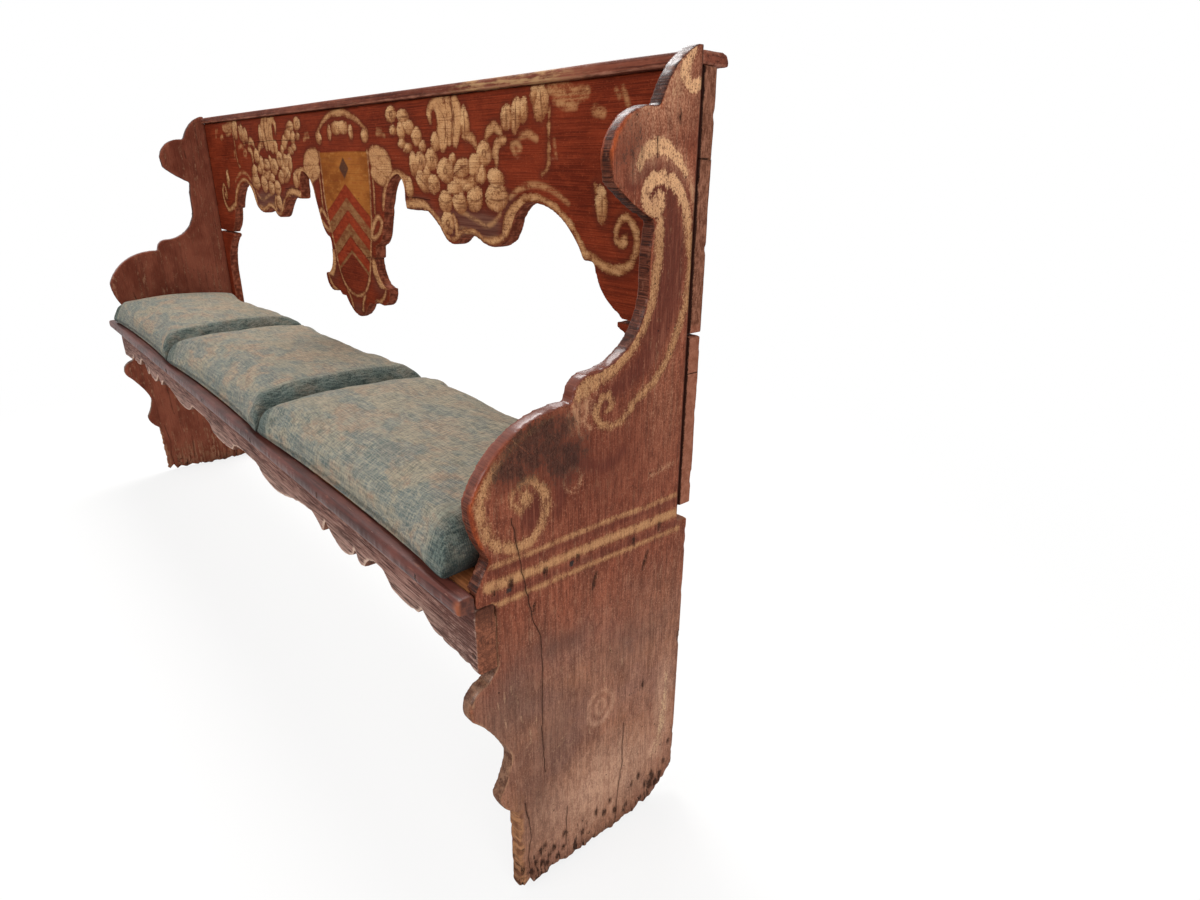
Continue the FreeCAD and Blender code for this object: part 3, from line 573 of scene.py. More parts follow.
panel_finish, shader, place = new_finish("rubbed red paint on upright board", {
    "Specular IOR Level": 0.03, "Coat Roughness": 0.26,
})
turn = noted(place, "turn")
edge = noted(place, "edge")
cream = noted(place, "cream")
up = part_of(place, "Z")
deep = part_of(place, "Y")
lines = mottle(place, (2.0, 1.5, 120), 3.0, 1.0)
grain = mottle(place, (6, 5, 190), 5.0, 1.5)
clouds = mottle(place, (70, 55, 100), 5.0, 3.0)
rubs = mottle(place, (12, 9, 18), 5.0, 5.0)
specks = mottle(place, (2.8, 2.6, 3.8), 3.0, 4.0)
crackle = mottle(place, (1.5, 1.4, 2.0), 2.0, 6.0)
scrapes = mottle(turned(place, 0.75), (4, 60, 1.8), 3.0, 6.5)
scrapes = scrapes.most(mottle(turned(place, -0.5), (4, 50, 1.8), 3.0, 6.8))
scrapes = scrapes.most(mottle(turned(place, 1.3), (4, 40, 1.8), 3.0, 7.1))
outer = turn.rise(0.3, 0.75)
sawn = abs(turn).fall(0.35, 0.8)
fleck = specks * 0.45 + crackle * 0.55
wear = rubs * 0.45 + fleck * 0.3 + grain * 0.25
arm = up.rise(560, 650) * up.fall(710, 760) * deep.fall(20, 70)
bare = grain.rise(0.36, 0.64).over((112, 72, 52), (160, 114, 88))
bare = (lines.rise(0.52, 0.64) * 0.6).over(bare, (78, 50, 38))
red = clouds.rise(0.34, 0.66).over((110, 54, 38), (134, 74, 54))
red = glaze(red, [
    (rubs.rise(0.48, 0.62), 0.45, (146, 88, 66)),
    (rubs.fall(0.38, 0.5), 0.5, (88, 45, 33)),
    (grain.rise(0.5, 0.62), 0.45, (86, 44, 33)),
    (lines.rise(0.54, 0.64), 0.4, (70, 38, 29)),
    (fleck.rise(0.53, 0.6), 0.5, (168, 112, 88)),
    (fleck.fall(0.4, 0.47), 0.55, (66, 36, 28)),
    (noted(place, "shade").rise(-6, 8), 0.8, (90, 44, 35)),
])
thin = (wear + up.fall(20, 150) * 0.07).rise(0.53, 0.6)
colour = (thin * 0.45).over(red, bare)
low = (up + (clouds - 0.5) * 220).fall(290, 480)
hues = mottle(place, (60, 90, 70), 4.0, 6.2)
fibres = mottle(place, (2.6, 2.2, 34), 3.0, 6.4)
lower = clouds.rise(0.36, 0.64).over((122, 80, 63), (150, 105, 85))
lower = glaze(lower, [
    (hues.rise(0.5, 0.62), 0.5, (128, 94, 84)),
    (hues.fall(0.38, 0.5), 0.5, (162, 110, 82)),
    (grain.rise(0.48, 0.62), 0.4, (104, 68, 53)),
    (lines.rise(0.54, 0.64), 0.4, (92, 60, 48)),
    (fibres.rise(0.52, 0.62), 0.28, (96, 64, 52)),
    (fibres.fall(0.38, 0.48), 0.24, (174, 132, 108)),
    (rubs.rise(0.5, 0.64), 0.4, (164, 122, 100)),
    (rubs.fall(0.38, 0.5), 0.35, (108, 72, 58)),
    (fleck.rise(0.53, 0.6), 0.45, (182, 142, 118)),
    (fleck.fall(0.4, 0.47), 0.5, (86, 56, 45)),
])
colour = glaze(colour, [
    (fibres.rise(0.54, 0.64), 0.3, (78, 42, 32)),
    (fibres.fall(0.36, 0.46), 0.25, (164, 104, 80)),
    (low, 0.85, lower),
])
veil = low.over((86, 44, 34), (96, 73, 64))
colour = (noted(place, "dusk") * (0.45 + rubs * 0.7)).least(0.8).over(colour, veil)
pale = noted(place, "pale") * (0.4 + wear.rise(0.42, 0.58) * 0.6)
pale_tone = fleck.rise(0.42, 0.58).over((156, 100, 75), (198, 148, 116))
pale_tone = (up.fall(200, 320) * 0.6).over(pale_tone, (206, 168, 142))
colour = (pale * 0.82).over(colour, pale_tone)
faint = noted(place, "faint") + (fleck - 0.5) * 30
faded = faint.rise(-4, 4) * (0.1 + wear.rise(0.44, 0.56) * 0.55)
colour = faded.over(colour, (186, 142, 108))
firm = up.rise(625, 655) * deep.rise(-20, 0)
firm = firm.most(up.rise(700, 760))
band = up.rise(444, 454) * up.fall(524, 536)
blurred = up.rise(530, 545) * up.fall(640, 670) * (1 - firm)
lasting = cream + (rubs - 0.5) * (15 - band * 8)
lasting = lasting + (fleck - 0.5) * (38 - firm * 21 - band * 28 - blurred * 14)
coat = lasting.rise(-1.4 - blurred * 2 - band * 0.8, 3.0 - firm + blurred * 3 + band)
coat = coat * (0.3 + 0.7 * (rubs + firm * 0.05 + band * 0.06).rise(0.4, 0.52))
tone = (cream + (rubs - 0.5) * 14).rise(-1, 7).over((140, 94, 64), (176, 130, 90))
tone = glaze(tone, [
    (up.rise(830, 910), 0.8, (236, 184, 138)),
    (up.fall(230, 330), 0.8, (212, 176, 142)),
    (band, 0.4, (190, 142, 98)),
    (fleck.rise(0.53, 0.6), 0.6 - band * 0.3, (204, 160, 120)),
    (fleck.fall(0.42, 0.49), 0.8 - band * 0.45, (90, 54, 38)),
    (lines.rise(0.54, 0.64), 0.4, (108, 68, 47)),
])
colour = (coat * 0.86).over(colour, tone)
dirt = noted(place, "smudge")
grime = (dirt + (rubs - 0.5) * 4.0 + (fleck - 0.5) * 4.4).rise(0.35, 0.95) * dirt.rise(0.02, 0.3)
grime = grime * (1 - scrapes.rise(0.62, 0.68) * 0.6)
grime_tone = fleck.rise(0.44, 0.56).over((40, 26, 22), (74, 49, 41))
colour = glaze(colour, [
    (dirt.least(1), 0.35, (84, 52, 42)),
    (grime, 0.85, grime_tone),
    (scrapes.rise(0.72, 0.77) * outer * clouds.rise(0.45, 0.6), 0.4, (176, 132, 104)),
])
ember = noted(place, "ember") * (edge + (rubs - 0.5) * 12).fall(1.5, 6.5)
front_side = deep.fall(112, 132)
worn = (edge + (wear - 0.5) * 36).fall(-2, 2.5) * up.rise(440, 520) * front_side * 0.8
worn = worn.most(ember * 1.2).least(1)
uneven = (rubs * 0.5 + fleck * 0.5).rise(0.42, 0.58)
worn_tone = uneven.over((120, 50, 28), (178, 84, 42))
worn_tone = (up.fall(640, 720) * 0.45).over(worn_tone, (92, 42, 27))
colour = (worn * 0.8).over(colour, worn_tone)
# Painted shadow: a dark strip along the panel's rear edge above the shoulder, where the back lies
# in its rebate.
gap = (deep + (fleck - 0.5) * 5).rise(144, 147) * up.rise(484, 496)
colour = (gap * 0.8).over(colour, (40, 24, 18))
rear_rub = (edge + (wear - 0.5) * 30).fall(-1, 3) * up.fall(440, 480) * up.rise(90, 130)
colour = (rear_rub * 0.55).over(colour, (186, 144, 112))
graze = (noted(place, "graze") + (fleck - 0.5) * 7).rise(-0.7, 1.2)
colour = (graze * 0.4).over(colour, (186, 150, 118))
notches = mottle(place, (70, 1.7, 1.7), 3.0, 7.0)
# Painted shade: the sawn edges' dark base is their grimy old paint, darkened further to stand in
# for the shade on these faces.
grimy_and_shaded_edge = clouds.rise(0.36, 0.64).over((58, 26, 16), (86, 44, 31))
grimy_and_shaded_edge = glaze(grimy_and_shaded_edge, [
    (notches.rise(0.5, 0.58), 0.8, (34, 17, 13)),
    (notches.fall(0.38, 0.46), 0.45, (132, 82, 64)),
    (rubs.rise(0.56, 0.68), 0.5, (140, 90, 70)),
    (arm, 0.2 + rubs * 0.7, (116, 58, 42)),
])
worn_foot = uneven.over((92, 62, 48), (150, 112, 88))
grimy_and_shaded_edge = glaze(grimy_and_shaded_edge, [
    (up.fall(380, 470), 0.35 + rubs * 0.7, worn_foot),
    ((ember * 0.95).least(1), 1, worn_tone),
])
# Painted light: the top of the rear shoulder lies in the stile's shadow, and is lightened to a warm
# brown.
shoulder_painted_light = deep.rise(138, 147) * up.rise(454, 468) * up.fall(488, 496)
grimy_and_shaded_edge = (shoulder_painted_light * (0.5 + rubs * 0.6)).least(0.9).over(grimy_and_shaded_edge, (158, 104, 78))
splinters = mottle(place, (30, 12, 8), 5.0, 8.0)
raw = splinters.rise(0.4, 0.6).over((166, 118, 82), (104, 66, 46))
gouges = mottle(place, (26, 12, 7), 4.0, 9.0).rise(0.56, 0.62) * up.fall(90, 150)
raw = (gouges * 0.8).over(raw, (54, 34, 26))
broken = (up + (rubs - 0.5) * 60).fall(120, 180)
grimy_and_shaded_edge = broken.over(grimy_and_shaded_edge, raw)
colour = sawn.over(colour, grimy_and_shaded_edge)
broken_face = broken * outer * (deep + (rubs - 0.5) * 26).fall(-120, -111)
colour = (broken_face * 0.85).over(colour, raw)
inner_red = clouds.rise(0.36, 0.64).over((104, 52, 38), (132, 74, 56))
inner_red = glaze(inner_red, [
    (grain.rise(0.5, 0.66), 0.6, (82, 42, 32)),
    (fleck.fall(0.37, 0.45), 0.4, (70, 38, 30)),
    (thin, 0.7, bare),
])
colour = turn.fall(-0.75, -0.3).over(colour, inner_red)
eaten = worm_holes(place, 8, 1.4, 1.0) * (clouds + up.fall(10, 240) * 0.24).rise(0.55, 0.62)
gnawed = worm_holes(place, 13, 3.4, 2.0) * (rubs + up.fall(4, 90) * 0.26 - 0.13).rise(0.5, 0.56)
gnawed = gnawed * (fleck * 0.6 + fibres * 0.4).rise(0.46, 0.54)
rotten = mottle(place, (5, 4.5, 26), 4.0, 9.5)
gnawed = gnawed.most((rotten + up.fall(10, 95) * 0.12).rise(0.68, 0.74) * up.fall(60, 100))
pitted = (noted(place, "pit") + (fleck - 0.5) * 20 + (fibres - 0.5) * 8).rise(-0.8, 0.8)
split = abs(noted(place, "split"))
cleft = split.fall(0.1, 0.7) * (0.35 + rubs * 1.1)
colour = glaze(colour, [
    (split.fall(0.4, 4) * rubs.rise(0.36, 0.6), 0.5, (84, 50, 37)),
    (noted(place, "pit").rise(-4, 0), 0.4, (92, 58, 44)),
])
foot_dirt = (up.fall(0, 60) * (0.1 + rubs * 1.2)).rise(0.35, 0.9) * 0.55
colour = foot_dirt.over(colour, (84, 56, 42))
sunk = eaten.most(gnawed).most(pitted * 0.86).most(cleft.least(1))
colour = (sunk * 0.85).over(colour, (40, 25, 19))
gloss = 0.5 + thin * 0.14 + coat * 0.1 + low * 0.08
relief = grain * 0.5 + lines * 0.4 + coat * 0.4 - thin * 0.3 + fleck * 0.7 + rubs * 0.4
relief = relief - sunk * 2.6 - fibres.rise(0.5, 0.62) * 0.4
relief = relief * (1 - arm * sawn * 0.9) + sawn * notches * (1.4 - arm * 1.3)
lay_on(shader, colour, gloss, relief, 1.2)
upper_side = noted(place, "lift").rise(0.05, 0.6)
rubbed_bright = 0.15 + wear.rise(0.42, 0.58) * 0.25 * (1 - arm) + arm * 0.4
polish = sawn * up.rise(150, 260) * (0.03 + upper_side * rubbed_bright) * (1 - shoulder_painted_light)
polish = polish + outer * 0.02
polish.tree.links.new(polish.socket, shader.inputs["Coat Weight"])

painted_panel("right", 1, 11)
painted_panel("left", -1, 211)


# Seat frame: a rail behind and three battens across carry the seat boards. They are plain sawn
# pine, nailed to the panels and the apron, and were never painted.
FRAME_FACE = 4.0

bare_finish, shader, place = new_finish("bare old pine", {"Specular IOR Level": 0.03})
grain = mottle(place, (120, 4, 3.2), 4.0, 11.0)
streaks = mottle(place, (300, 14, 11), 3.0, 12.0)
clouds = mottle(place, (90, 70, 60), 4.0, 13.0)
stains = mottle(place, (40, 22, 22), 4.0, 14.0)
colour = grain.rise(0.36, 0.66).over((96, 66, 46), (142, 104, 74))
colour = glaze(colour, [
    (streaks.rise(0.42, 0.64), 0.7, (122, 84, 58)),
    (clouds.rise(0.5, 0.7), 0.5, (84, 60, 46)),
])
holes = worm_holes(place, 12, 1.5, 3.0) * clouds.rise(0.54, 0.62)
colour = glaze(colour, [
    (holes, 1, (32, 22, 16)),
    (noted(place, "edge").fall(1, 5) * stains.rise(0.4, 0.6), 0.5, (160, 124, 92)),
])
lay_on(shader, colour, 0.62 + clouds * 0.2, grain + stains * 0.4 - holes * 2.5, 0.9)

fit_board(bare_finish, "bare_wood", "rail", "rear_seat_rail", FRAME_FACE, 1, 0, -1, 31)
for number, side in enumerate(("left", "middle", "right")):
    sizes = (FRAME_FACE, 2, 1, 1, 41 + 10 * number)
    fit_board(bare_finish, "bare_wood", f"batten_{side}", f"seat_batten_{side}", *sizes)


# Seat: two long boards housed in the panels, laid on the battens and nailed down. Their tops are
# warm brown where the cushions have kept them, with a few drying cracks along the grain.
SEAT_FACE = 4.4

seat_finish, shader, place = new_finish("brown seat boards", {"Specular IOR Level": 0.03})
turn = noted(place, "turn")
grain = mottle(place, (150, 4.2, 3.4), 4.0, 21.0)
streaks = mottle(place, (340, 15, 12), 3.0, 22.0)
clouds = mottle(place, (120, 60, 60), 4.0, 23.0)
rubs = mottle(place, (50, 13, 13), 4.0, 24.0)
colour = grain.rise(0.36, 0.66).over((112, 66, 38), (158, 100, 60))
colour = glaze(colour, [
    (streaks.rise(0.42, 0.64), 0.7, (134, 80, 46)),
    (clouds.rise(0.46, 0.68), 0.55, (92, 54, 36)),
])
under = grain.rise(0.36, 0.66).over((94, 66, 46), (138, 102, 74))
colour = turn.fall(-0.6, 0.3).over(colour, under)
cleft = abs(noted(place, "split")).fall(0.3, 1.1)
colour = glaze(colour, [
    (cleft, 1, (34, 22, 15)),
    (noted(place, "edge").fall(1, 5) * rubs.rise(0.4, 0.6), 0.6, (96, 62, 44)),
])
lay_on(shader, colour, 0.5 + rubs * 0.18, grain + rubs * 0.5 - cleft * 3, 0.8)

SEAT_SPLITS = {
    "seat_front_board": [
        [(-700, -60), (-560, -64), (-380, -58)], [(430, -30), (640, -36), (900, -33)],
    ],
    "seat_rear_board": [
        [(-220, 70), (40, 66), (210, 72)], [(560, 40), (700, 46), (880, 44)],
    ],
}
for number, (node, runs) in enumerate(SEAT_SPLITS.items()):
    board = aged_board(node.replace("_board", ""), node, SEAT_FACE, 2, 0, 1, 71 + 10 * number)
    piece, points, moved = board[:3]
    note(piece, "split", split_along(points[:, 0], points[:, 1], runs))
    move_to(piece, moved)
    fit(piece, "bench", seat_finish, "painted_wood", node)


# Nosing: a strip with a rounded front nailed along the seat's front edge. Its purple-brown paint
# is polished by legs, and rubbed to a paler tone on the round and to bare orange at the ends.
NOSING_FACE = 2.6

nosing_finish, shader, place = new_finish("polished paint on nosing", {
    "Specular IOR Level": 0.04, "Coat Weight": 0.3, "Coat Roughness": 0.34,
})
edge = noted(place, "edge")
across_x = abs(part_of(place, "X"))
grain = mottle(place, (130, 3, 3), 4.0, 31.0)
clouds = mottle(place, (110, 30, 30), 4.0, 32.0)
rubs = mottle(place, (40, 9, 9), 4.0, 33.0)
scratches = mottle(place, (22, 1.6, 1.6), 2.0, 34.0)
colour = clouds.rise(0.36, 0.64).over((62, 31, 26), (96, 52, 44))
colour = (grain.rise(0.46, 0.64) * 0.7).over(colour, (48, 25, 22))
worn = (edge + (rubs - 0.5) * 20).fall(-1, 4)
colour = glaze(colour, [
    (worn, 0.6, (142, 90, 74)),
    (rubs.rise(0.6, 0.7), 0.5, (136, 86, 68)),
    (scratches.rise(0.66, 0.74), 0.6, (168, 124, 108)),
])
tips = (across_x + (rubs - 0.5) * 8).rise(955, 959)
tip_tone = rubs.rise(0.4, 0.6).over((66, 34, 27), (98, 54, 40))
colour = tips.over(colour, tip_tone)
corner = (across_x + (rubs - 0.5) * 30).rise(948, 960)
corner = corner * (part_of(place, "Y") + (rubs - 0.5) * 8).fall(-189, -184)
colour = (corner * 0.65).over(colour, (152, 84, 54))
lay_on(shader, colour, 0.36 + rubs * 0.2, grain * 0.7 + rubs - scratches.rise(0.66, 0.74), 0.7)

fit_board(nosing_finish, "painted_wood", "nosing", "seat_nosing", NOSING_FACE, 2, 0, 1, 91)


# Apron: a board sawn to lobes and cusps below the nosing, its ends let into the panels' front
# edges. The paint is rubbed down to pinkish wood, palest along the lower edge, over ridged grain.
APRON_FACE = 2.6

apron_finish, shader, place = new_finish("rubbed paint on apron", {"Specular IOR Level": 0.03})
turn = noted(place, "turn")
edge = noted(place, "edge")
across_x = abs(part_of(place, "X"))
up = part_of(place, "Z")
ridges = mottle(place, (46, 2.6, 2.1), 4.0, 41.0)
clouds = mottle(place, (120, 40, 36), 4.0, 42.0)
rubs = mottle(place, (30, 10, 9), 4.0, 43.0)
hatch = mottle(place, (9, 30, 1.6), 3.0, 44.0)
colour = clouds.rise(0.36, 0.64).over((88, 54, 47), (124, 87, 78))
colour = glaze(colour, [
    (rubs.rise(0.5, 0.62), 0.5, (154, 120, 108)),
    ((up + (rubs - 0.5) * 60).fall(380, 440), 0.5, (182, 152, 138)),
    (ridges.rise(0.49, 0.58), 0.8, (48, 29, 26)),
    (ridges.fall(0.38, 0.46), 0.3, (182, 152, 138)),
    # painted shadow of the nosing along the apron's top
    ((up + (rubs - 0.5) * 20).rise(450, 466), 0.7, (92, 52, 46)),
])
worn = (edge + (rubs - 0.5) * 12).fall(0.5, 6)
colour = (worn * 0.8).over(colour, (202, 174, 156))
near_end = (across_x + (clouds - 0.5) * 120).rise(840, 900)
colour = (near_end * hatch.rise(0.44, 0.56) * 0.75).over(colour, (80, 50, 44))
tips = across_x.rise(955, 958.5)
end_lines = mottle(place, (30, 3, 22), 4.0, 45.0)
end_tone = (rubs * 0.5 + ridges * 0.5).rise(0.42, 0.6).over((98, 59, 45), (142, 88, 66))
end_tone = glaze(end_tone, [
    (end_lines.rise(0.5, 0.62), 0.55, (70, 42, 34)),
    # painted shadow of the nosing along the top of the apron's ends
    ((up + (rubs - 0.5) * 40).rise(440, 468), 0.7, (58, 33, 27)),
])
colour = tips.over(colour, end_tone)
sawn = abs(turn).fall(0.35, 0.75) * across_x.fall(950, 955)
colour = (sawn * 0.9).over(colour, rubs.rise(0.4, 0.62).over((64, 34, 27), (118, 78, 62)))
behind = ridges.rise(0.36, 0.66).over((96, 68, 50), (140, 104, 78))
colour = turn.fall(-0.7, -0.3).over(colour, behind)
holes = worm_holes(place, 16, 1.6, 4.0) * clouds.rise(0.55, 0.62)
colour = holes.over(colour, (36, 24, 20))
relief = ridges + rubs * 0.6 + near_end * hatch - holes * 2.5
lay_on(shader, colour, 0.55 + rubs * 0.15, relief, 1.2)

sizes = (APRON_FACE, 1, 0, -1, 101)
fit_board(apron_finish, "painted_wood", "apron", "front_apron", *sizes, eased=1)


# Back: two wide planks doweled edge to edge, the lower one sawn to scallops, with a pendant below
# its middle and a stile at each end. The front is glossy oxblood red with a cream border along
# the scallops, a festoon of flowers and leaves on each side and a plain shield in the middle.
BACK_FACE = 3.0
SMALL_FACE = 2.4
BACK_NODES = {
    "back_upper_plank": BACK_FACE,
    "back_lower_plank": BACK_FACE,
    "crest_pendant": SMALL_FACE,
    "back_stile_right": BACK_FACE,
    "back_stile_left": BACK_FACE,
}
BACK_FRONT = 148.0
BRIM_REACH = 60.0
SCALLOP_TOP, SCALLOP_NEAR, SCALLOP_FAR = 915, 335, 775
PLANK_JOINT, PLANK_SHUT = 927, 945
PENDANT_JOINT, PENDANT_SHUT = 739, 110
SHIELD_TOP, SHIELD_FOOT = 940, 650
BAR, BARS_TOP, BARS_DEEP, BARS_SLOPE = 13, 878, 138, 0.55
LOZENGE_UP, LOZENGE_WIDE, LOZENGE_HIGH = 908, 24, 22

FLOWERS = [
    ((228, 1000), (19, 13)), ((325, 922), (18, 15)), ((363, 926), (20, 17)), ((407, 909), (25, 18)),
    ((526, 934), (20, 17)), ((405, 826), (19, 17)),
]
PETALS = [
    ((272, 996), (20, 11), 0), ((290, 979), (23, 12), -12), ((262, 973), (15, 14), 0),
    ((316, 963), (18, 15), -20), ((336, 947), (11, 9), 0), ((299, 916), (14, 20), 8),
    ((328, 891), (25, 15), -28), ((366, 886), (20, 15), 0), ((380, 953), (15, 14), 15),
    ((458, 914), (22, 13), 10), ((496, 915), (16, 18), 0), ((513, 903), (15, 12), 10),
    ((436, 883), (22, 10), 0), ((478, 889), (20, 9), 10), ((556, 899), (21, 12), -8),
    ((556, 871), (30, 20), 4), ((494, 868), (23, 20), 20), ((447, 860), (21, 16), 0),
    ((402, 860), (21, 17), 0), ((588, 983), (14, 17), -15), ((612, 984), (11, 23), -10),
    ((630, 990), (9, 16), -8), ((474, 977), (12, 24), 6), ((798, 872), (11, 22), 10),
    ((262, 951), (13, 7), 0), ((282, 944), (15, 7), 10), ((15, 985), (23, 12), 0),
    ((52, 976), (9, 13), 0), ((112, 969), (15, 12), 20), ((250, 884), (13, 16), 10),
    ((276, 879), (15, 16), 0), ((669, 998), (17, 22), -15), ((655, 1010), (9, 14), -20),
    ((232, 974), (12, 7), 0), ((345, 905), (12, 10), 0), ((430, 926), (10, 8), 20),
]
LEAVES = [
    ([(367, 984), (364, 998), (372, 1008), (386, 1013), (400, 1010), (408, 992), (407, 970),
      (403, 952)], (8, 12, 14, 18, 34, 40, 38, 24)),
    ([(424, 1014), (428, 990), (423, 956)], (22, 26, 16)),
    ([(446, 1012), (452, 996), (449, 975), (443, 954)], (20, 27, 26, 16)),
    ([(468, 959), (484, 958), (496, 953), (504, 944)], (10, 14, 13, 8)),
    ([(437, 898), (460, 891), (484, 896), (499, 908)], (7, 12, 13, 8)),
    ([(534, 957), (543, 966), (556, 971), (571, 964)], (10, 15, 15, 9)),
    ([(559, 920), (557, 936), (565, 948), (582, 952)], (8, 14, 14, 9)),
    ([(690, 992), (688, 980)], (4, 4)),
    ([(688, 972), (688, 958)], (5, 4)),
    ([(688, 950), (688, 936)], (5, 5)),
    ([(688, 929), (686, 919), (680, 911), (672, 908)], (6, 6, 5)),
    ([(424, 838), (433, 826), (431, 810)], (6, 9, 8)),
    ([(785, 895), (790, 884)], (5, 7)),
    ([(846, 833), (846, 826), (839, 822), (831, 827), (829, 838), (834, 850), (845, 857),
      (857, 852), (865, 838), (866, 822), (860, 806), (849, 796), (833, 790), (815, 791),
      (797, 797), (780, 804), (766, 806)], (8, 8, 8, 9, 10, 11, 12, 12)),
    ([(142, 930), (160, 924), (186, 918), (202, 908)], (40, 50, 46, 24)),
    ([(142, 905), (165, 898), (184, 890)], (34, 36, 16)),
    ([(0, 1014), (25, 1013), (55, 1006), (85, 996), (105, 986), (122, 977)], (14, 12, 9, 7, 6, 5)),
    ([(152, 815), (140, 821), (122, 812), (108, 795), (104, 781), (118, 782), (136, 790),
      (150, 803), (152, 815)], (9, 9, 8)),
    ([(166, 838), (172, 860), (184, 882), (204, 896), (228, 901), (252, 899), (272, 893)],
     (8, 10, 12, 14, 14, 12, 10)),
    ([(252, 850), (285, 853), (320, 854), (345, 846)], (14, 15, 13, 9)),
    ([(576, 822), (586, 838), (602, 852), (622, 864)], (14, 24, 24, 14)),
    ([(100, 732), (108, 712), (122, 696), (142, 690)], (16, 26, 26, 14)),
    ([(146, 684), (136, 668), (118, 655), (98, 651)], (5, 7, 7, 5)),
    ([(46, 658), (32, 641), (24, 622)], (5, 7, 6)),
]
PETAL_LIGHT = np.array([-0.55, 0.8])
SHIELD_SIDE = [
    (117, 940), (116, 900), (114, 860), (108, 815), (98, 775), (88, 742), (78, 705), (62, 678),
    (38, 659), (0, 650),
]
FADED = [
    ([(592, 872), (612, 884), (640, 892), (668, 892), (700, 884), (730, 870)], (6, 8, 8, 7, 5)),
    ([(446, 846), (470, 842), (495, 835), (520, 829), (545, 833), (566, 848)], (5, 6, 6, 6, 5)),
    ([(164, 970), (180, 969), (196, 966)], (5, 6, 5)),
    ([(168, 978), (186, 977)], (4, 4)),
    ([(690, 1014), (712, 1012), (738, 1004), (768, 1006)], (14, 22, 22, 12)),
    ([(700, 998), (724, 992), (746, 990)], (8, 12, 8)),
    ([(834, 1006), (842, 990), (846, 982)], (4, 6, 5)),
    ([(822, 1004), (828, 996)], (4, 4)),
    ([(600, 945), (612, 948), (622, 940), (610, 934), (600, 942)], (7, 8, 7)),
    ([(622, 957), (640, 960), (660, 954)], (8, 10, 8)),
    ([(784, 984), (800, 980)], (12, 10)),
    ([(700, 950), (704, 930)], (4, 4)),
    ([(440, 820), (480, 816), (520, 808), (556, 812)], (6, 8, 8, 6)),
]
VEINS = [
    [(398, 1004), (413, 990), (414, 968), (408, 950)], [(432, 1016), (438, 990), (431, 960)],
    [(438, 1012), (443, 990), (438, 958)], [(472, 996), (474, 977), (470, 960)],
    [(528, 870), (556, 866), (586, 872)], [(544, 890), (552, 884), (570, 888)],
    [(472, 870), (494, 864), (518, 870)], [(382, 862), (402, 858), (422, 863)],
    [(428, 862), (447, 858), (466, 862)], [(440, 907), (460, 916), (478, 919)],
    [(308, 900), (326, 890), (346, 880)], [(588, 996), (588, 970)], [(798, 886), (800, 860)],
    [(612, 1004), (610, 966)], [(668, 1016), (672, 980)], [(252, 996), (290, 996)],
]
BACK_SPLITS = [
    [(245, 862), (290, 863), (352, 861)], [(-352, 861), (-300, 863), (-262, 862)],
    [(-620, 965), (-420, 968), (-240, 966)], [(66, 738), (84, 739), (110, 738), (150, 739)],
    [(938, 677), (966, 678)],
]

back_finish, shader, place = new_finish("glossy oxblood paint", {
    "Specular IOR Level": 0.0, "Coat Weight": 0.03, "Coat Roughness": 0.3,
})
turn = noted(place, "turn")
edge = noted(place, "edge")
cream = noted(place, "cream")
brim = noted(place, "brim")
across_x = abs(part_of(place, "X"))
deep = part_of(place, "Y")
up = part_of(place, "Z")
lines = mottle(place, (130, 2.0, 1.5), 3.0, 50.0)
grain = mottle(place, (210, 5, 4), 5.0, 51.0)
clouds = mottle(place, (120, 55, 55), 5.0, 53.0)
rubs = mottle(place, (20, 9, 10), 5.0, 54.0)
specks = mottle(place, (4, 2.6, 2.4), 3.0, 55.0)
crackle = mottle(place, (2.2, 1.5, 1.4), 2.0, 56.0)
brush = mottle(place, (4.5, 5, 24), 4.0, 57.0)
front = turn.rise(0.5, 0.8)
fleck = specks * 0.55 + crackle * 0.45
wear = rubs * 0.42 + fleck * 0.28 + grain * 0.3
bare = grain.rise(0.36, 0.66).over((92, 66, 50), (146, 112, 86))
bare = (lines.rise(0.52, 0.68) * 0.6).over(bare, (74, 54, 42))
red = clouds.rise(0.34, 0.66).over((92, 33, 19), (120, 47, 27))
red = glaze(red, [
    (rubs.rise(0.5, 0.64), 0.35, (136, 58, 34)),
    (grain.rise(0.5, 0.62), 0.25, (72, 26, 16)),
    (lines.rise(0.5, 0.6), 0.5, (66, 24, 15)),
    (lines.fall(0.38, 0.5), 0.4, (134, 58, 36)),
    (fleck.rise(0.56, 0.63), 0.4, (150, 78, 52)),
    (fleck.fall(0.38, 0.45), 0.4, (60, 24, 16)),
])
murky = (noted(place, "murk") * (0.55 + rubs * 0.6)).least(0.85)
murk_tone = grain.rise(0.4, 0.6).over((74, 46, 39), (104, 70, 58))
near_paint = (cream + (rubs - 0.5) * 12).rise(-11, -1) * front
red = glaze(red, [
    (murky, 1, murk_tone),
    (near_paint, 0.55, (76, 34, 24)),
])
faded = noted(place, "faint").rise(-4, 4) * (0.12 + wear.rise(0.44, 0.55) * 0.62)
colour = faded.over(red, (174, 128, 86))
field = noted(place, "ochre").rise(-2, 2.5) * (0.62 + wear.rise(0.4, 0.5) * 0.3)
field_tone = clouds.rise(0.38, 0.62).over((124, 68, 28), (154, 94, 42))
field_tone = glaze(field_tone, [
    (lines.rise(0.54, 0.66), 0.35, (96, 56, 28)),
    (rubs.rise(0.52, 0.66), 0.35, (178, 124, 66)),
])
colour = field.over(colour, field_tone)
bar = noted(place, "stripe").rise(-2, 2.5) * (0.5 + wear.rise(0.42, 0.52) * 0.36)
colour = bar.over(colour, rubs.rise(0.35, 0.65).over((118, 40, 22), (140, 56, 32)))
pale_bar = noted(place, "tan").rise(-2, 2.5) * (0.45 + wear.rise(0.42, 0.52) * 0.36)
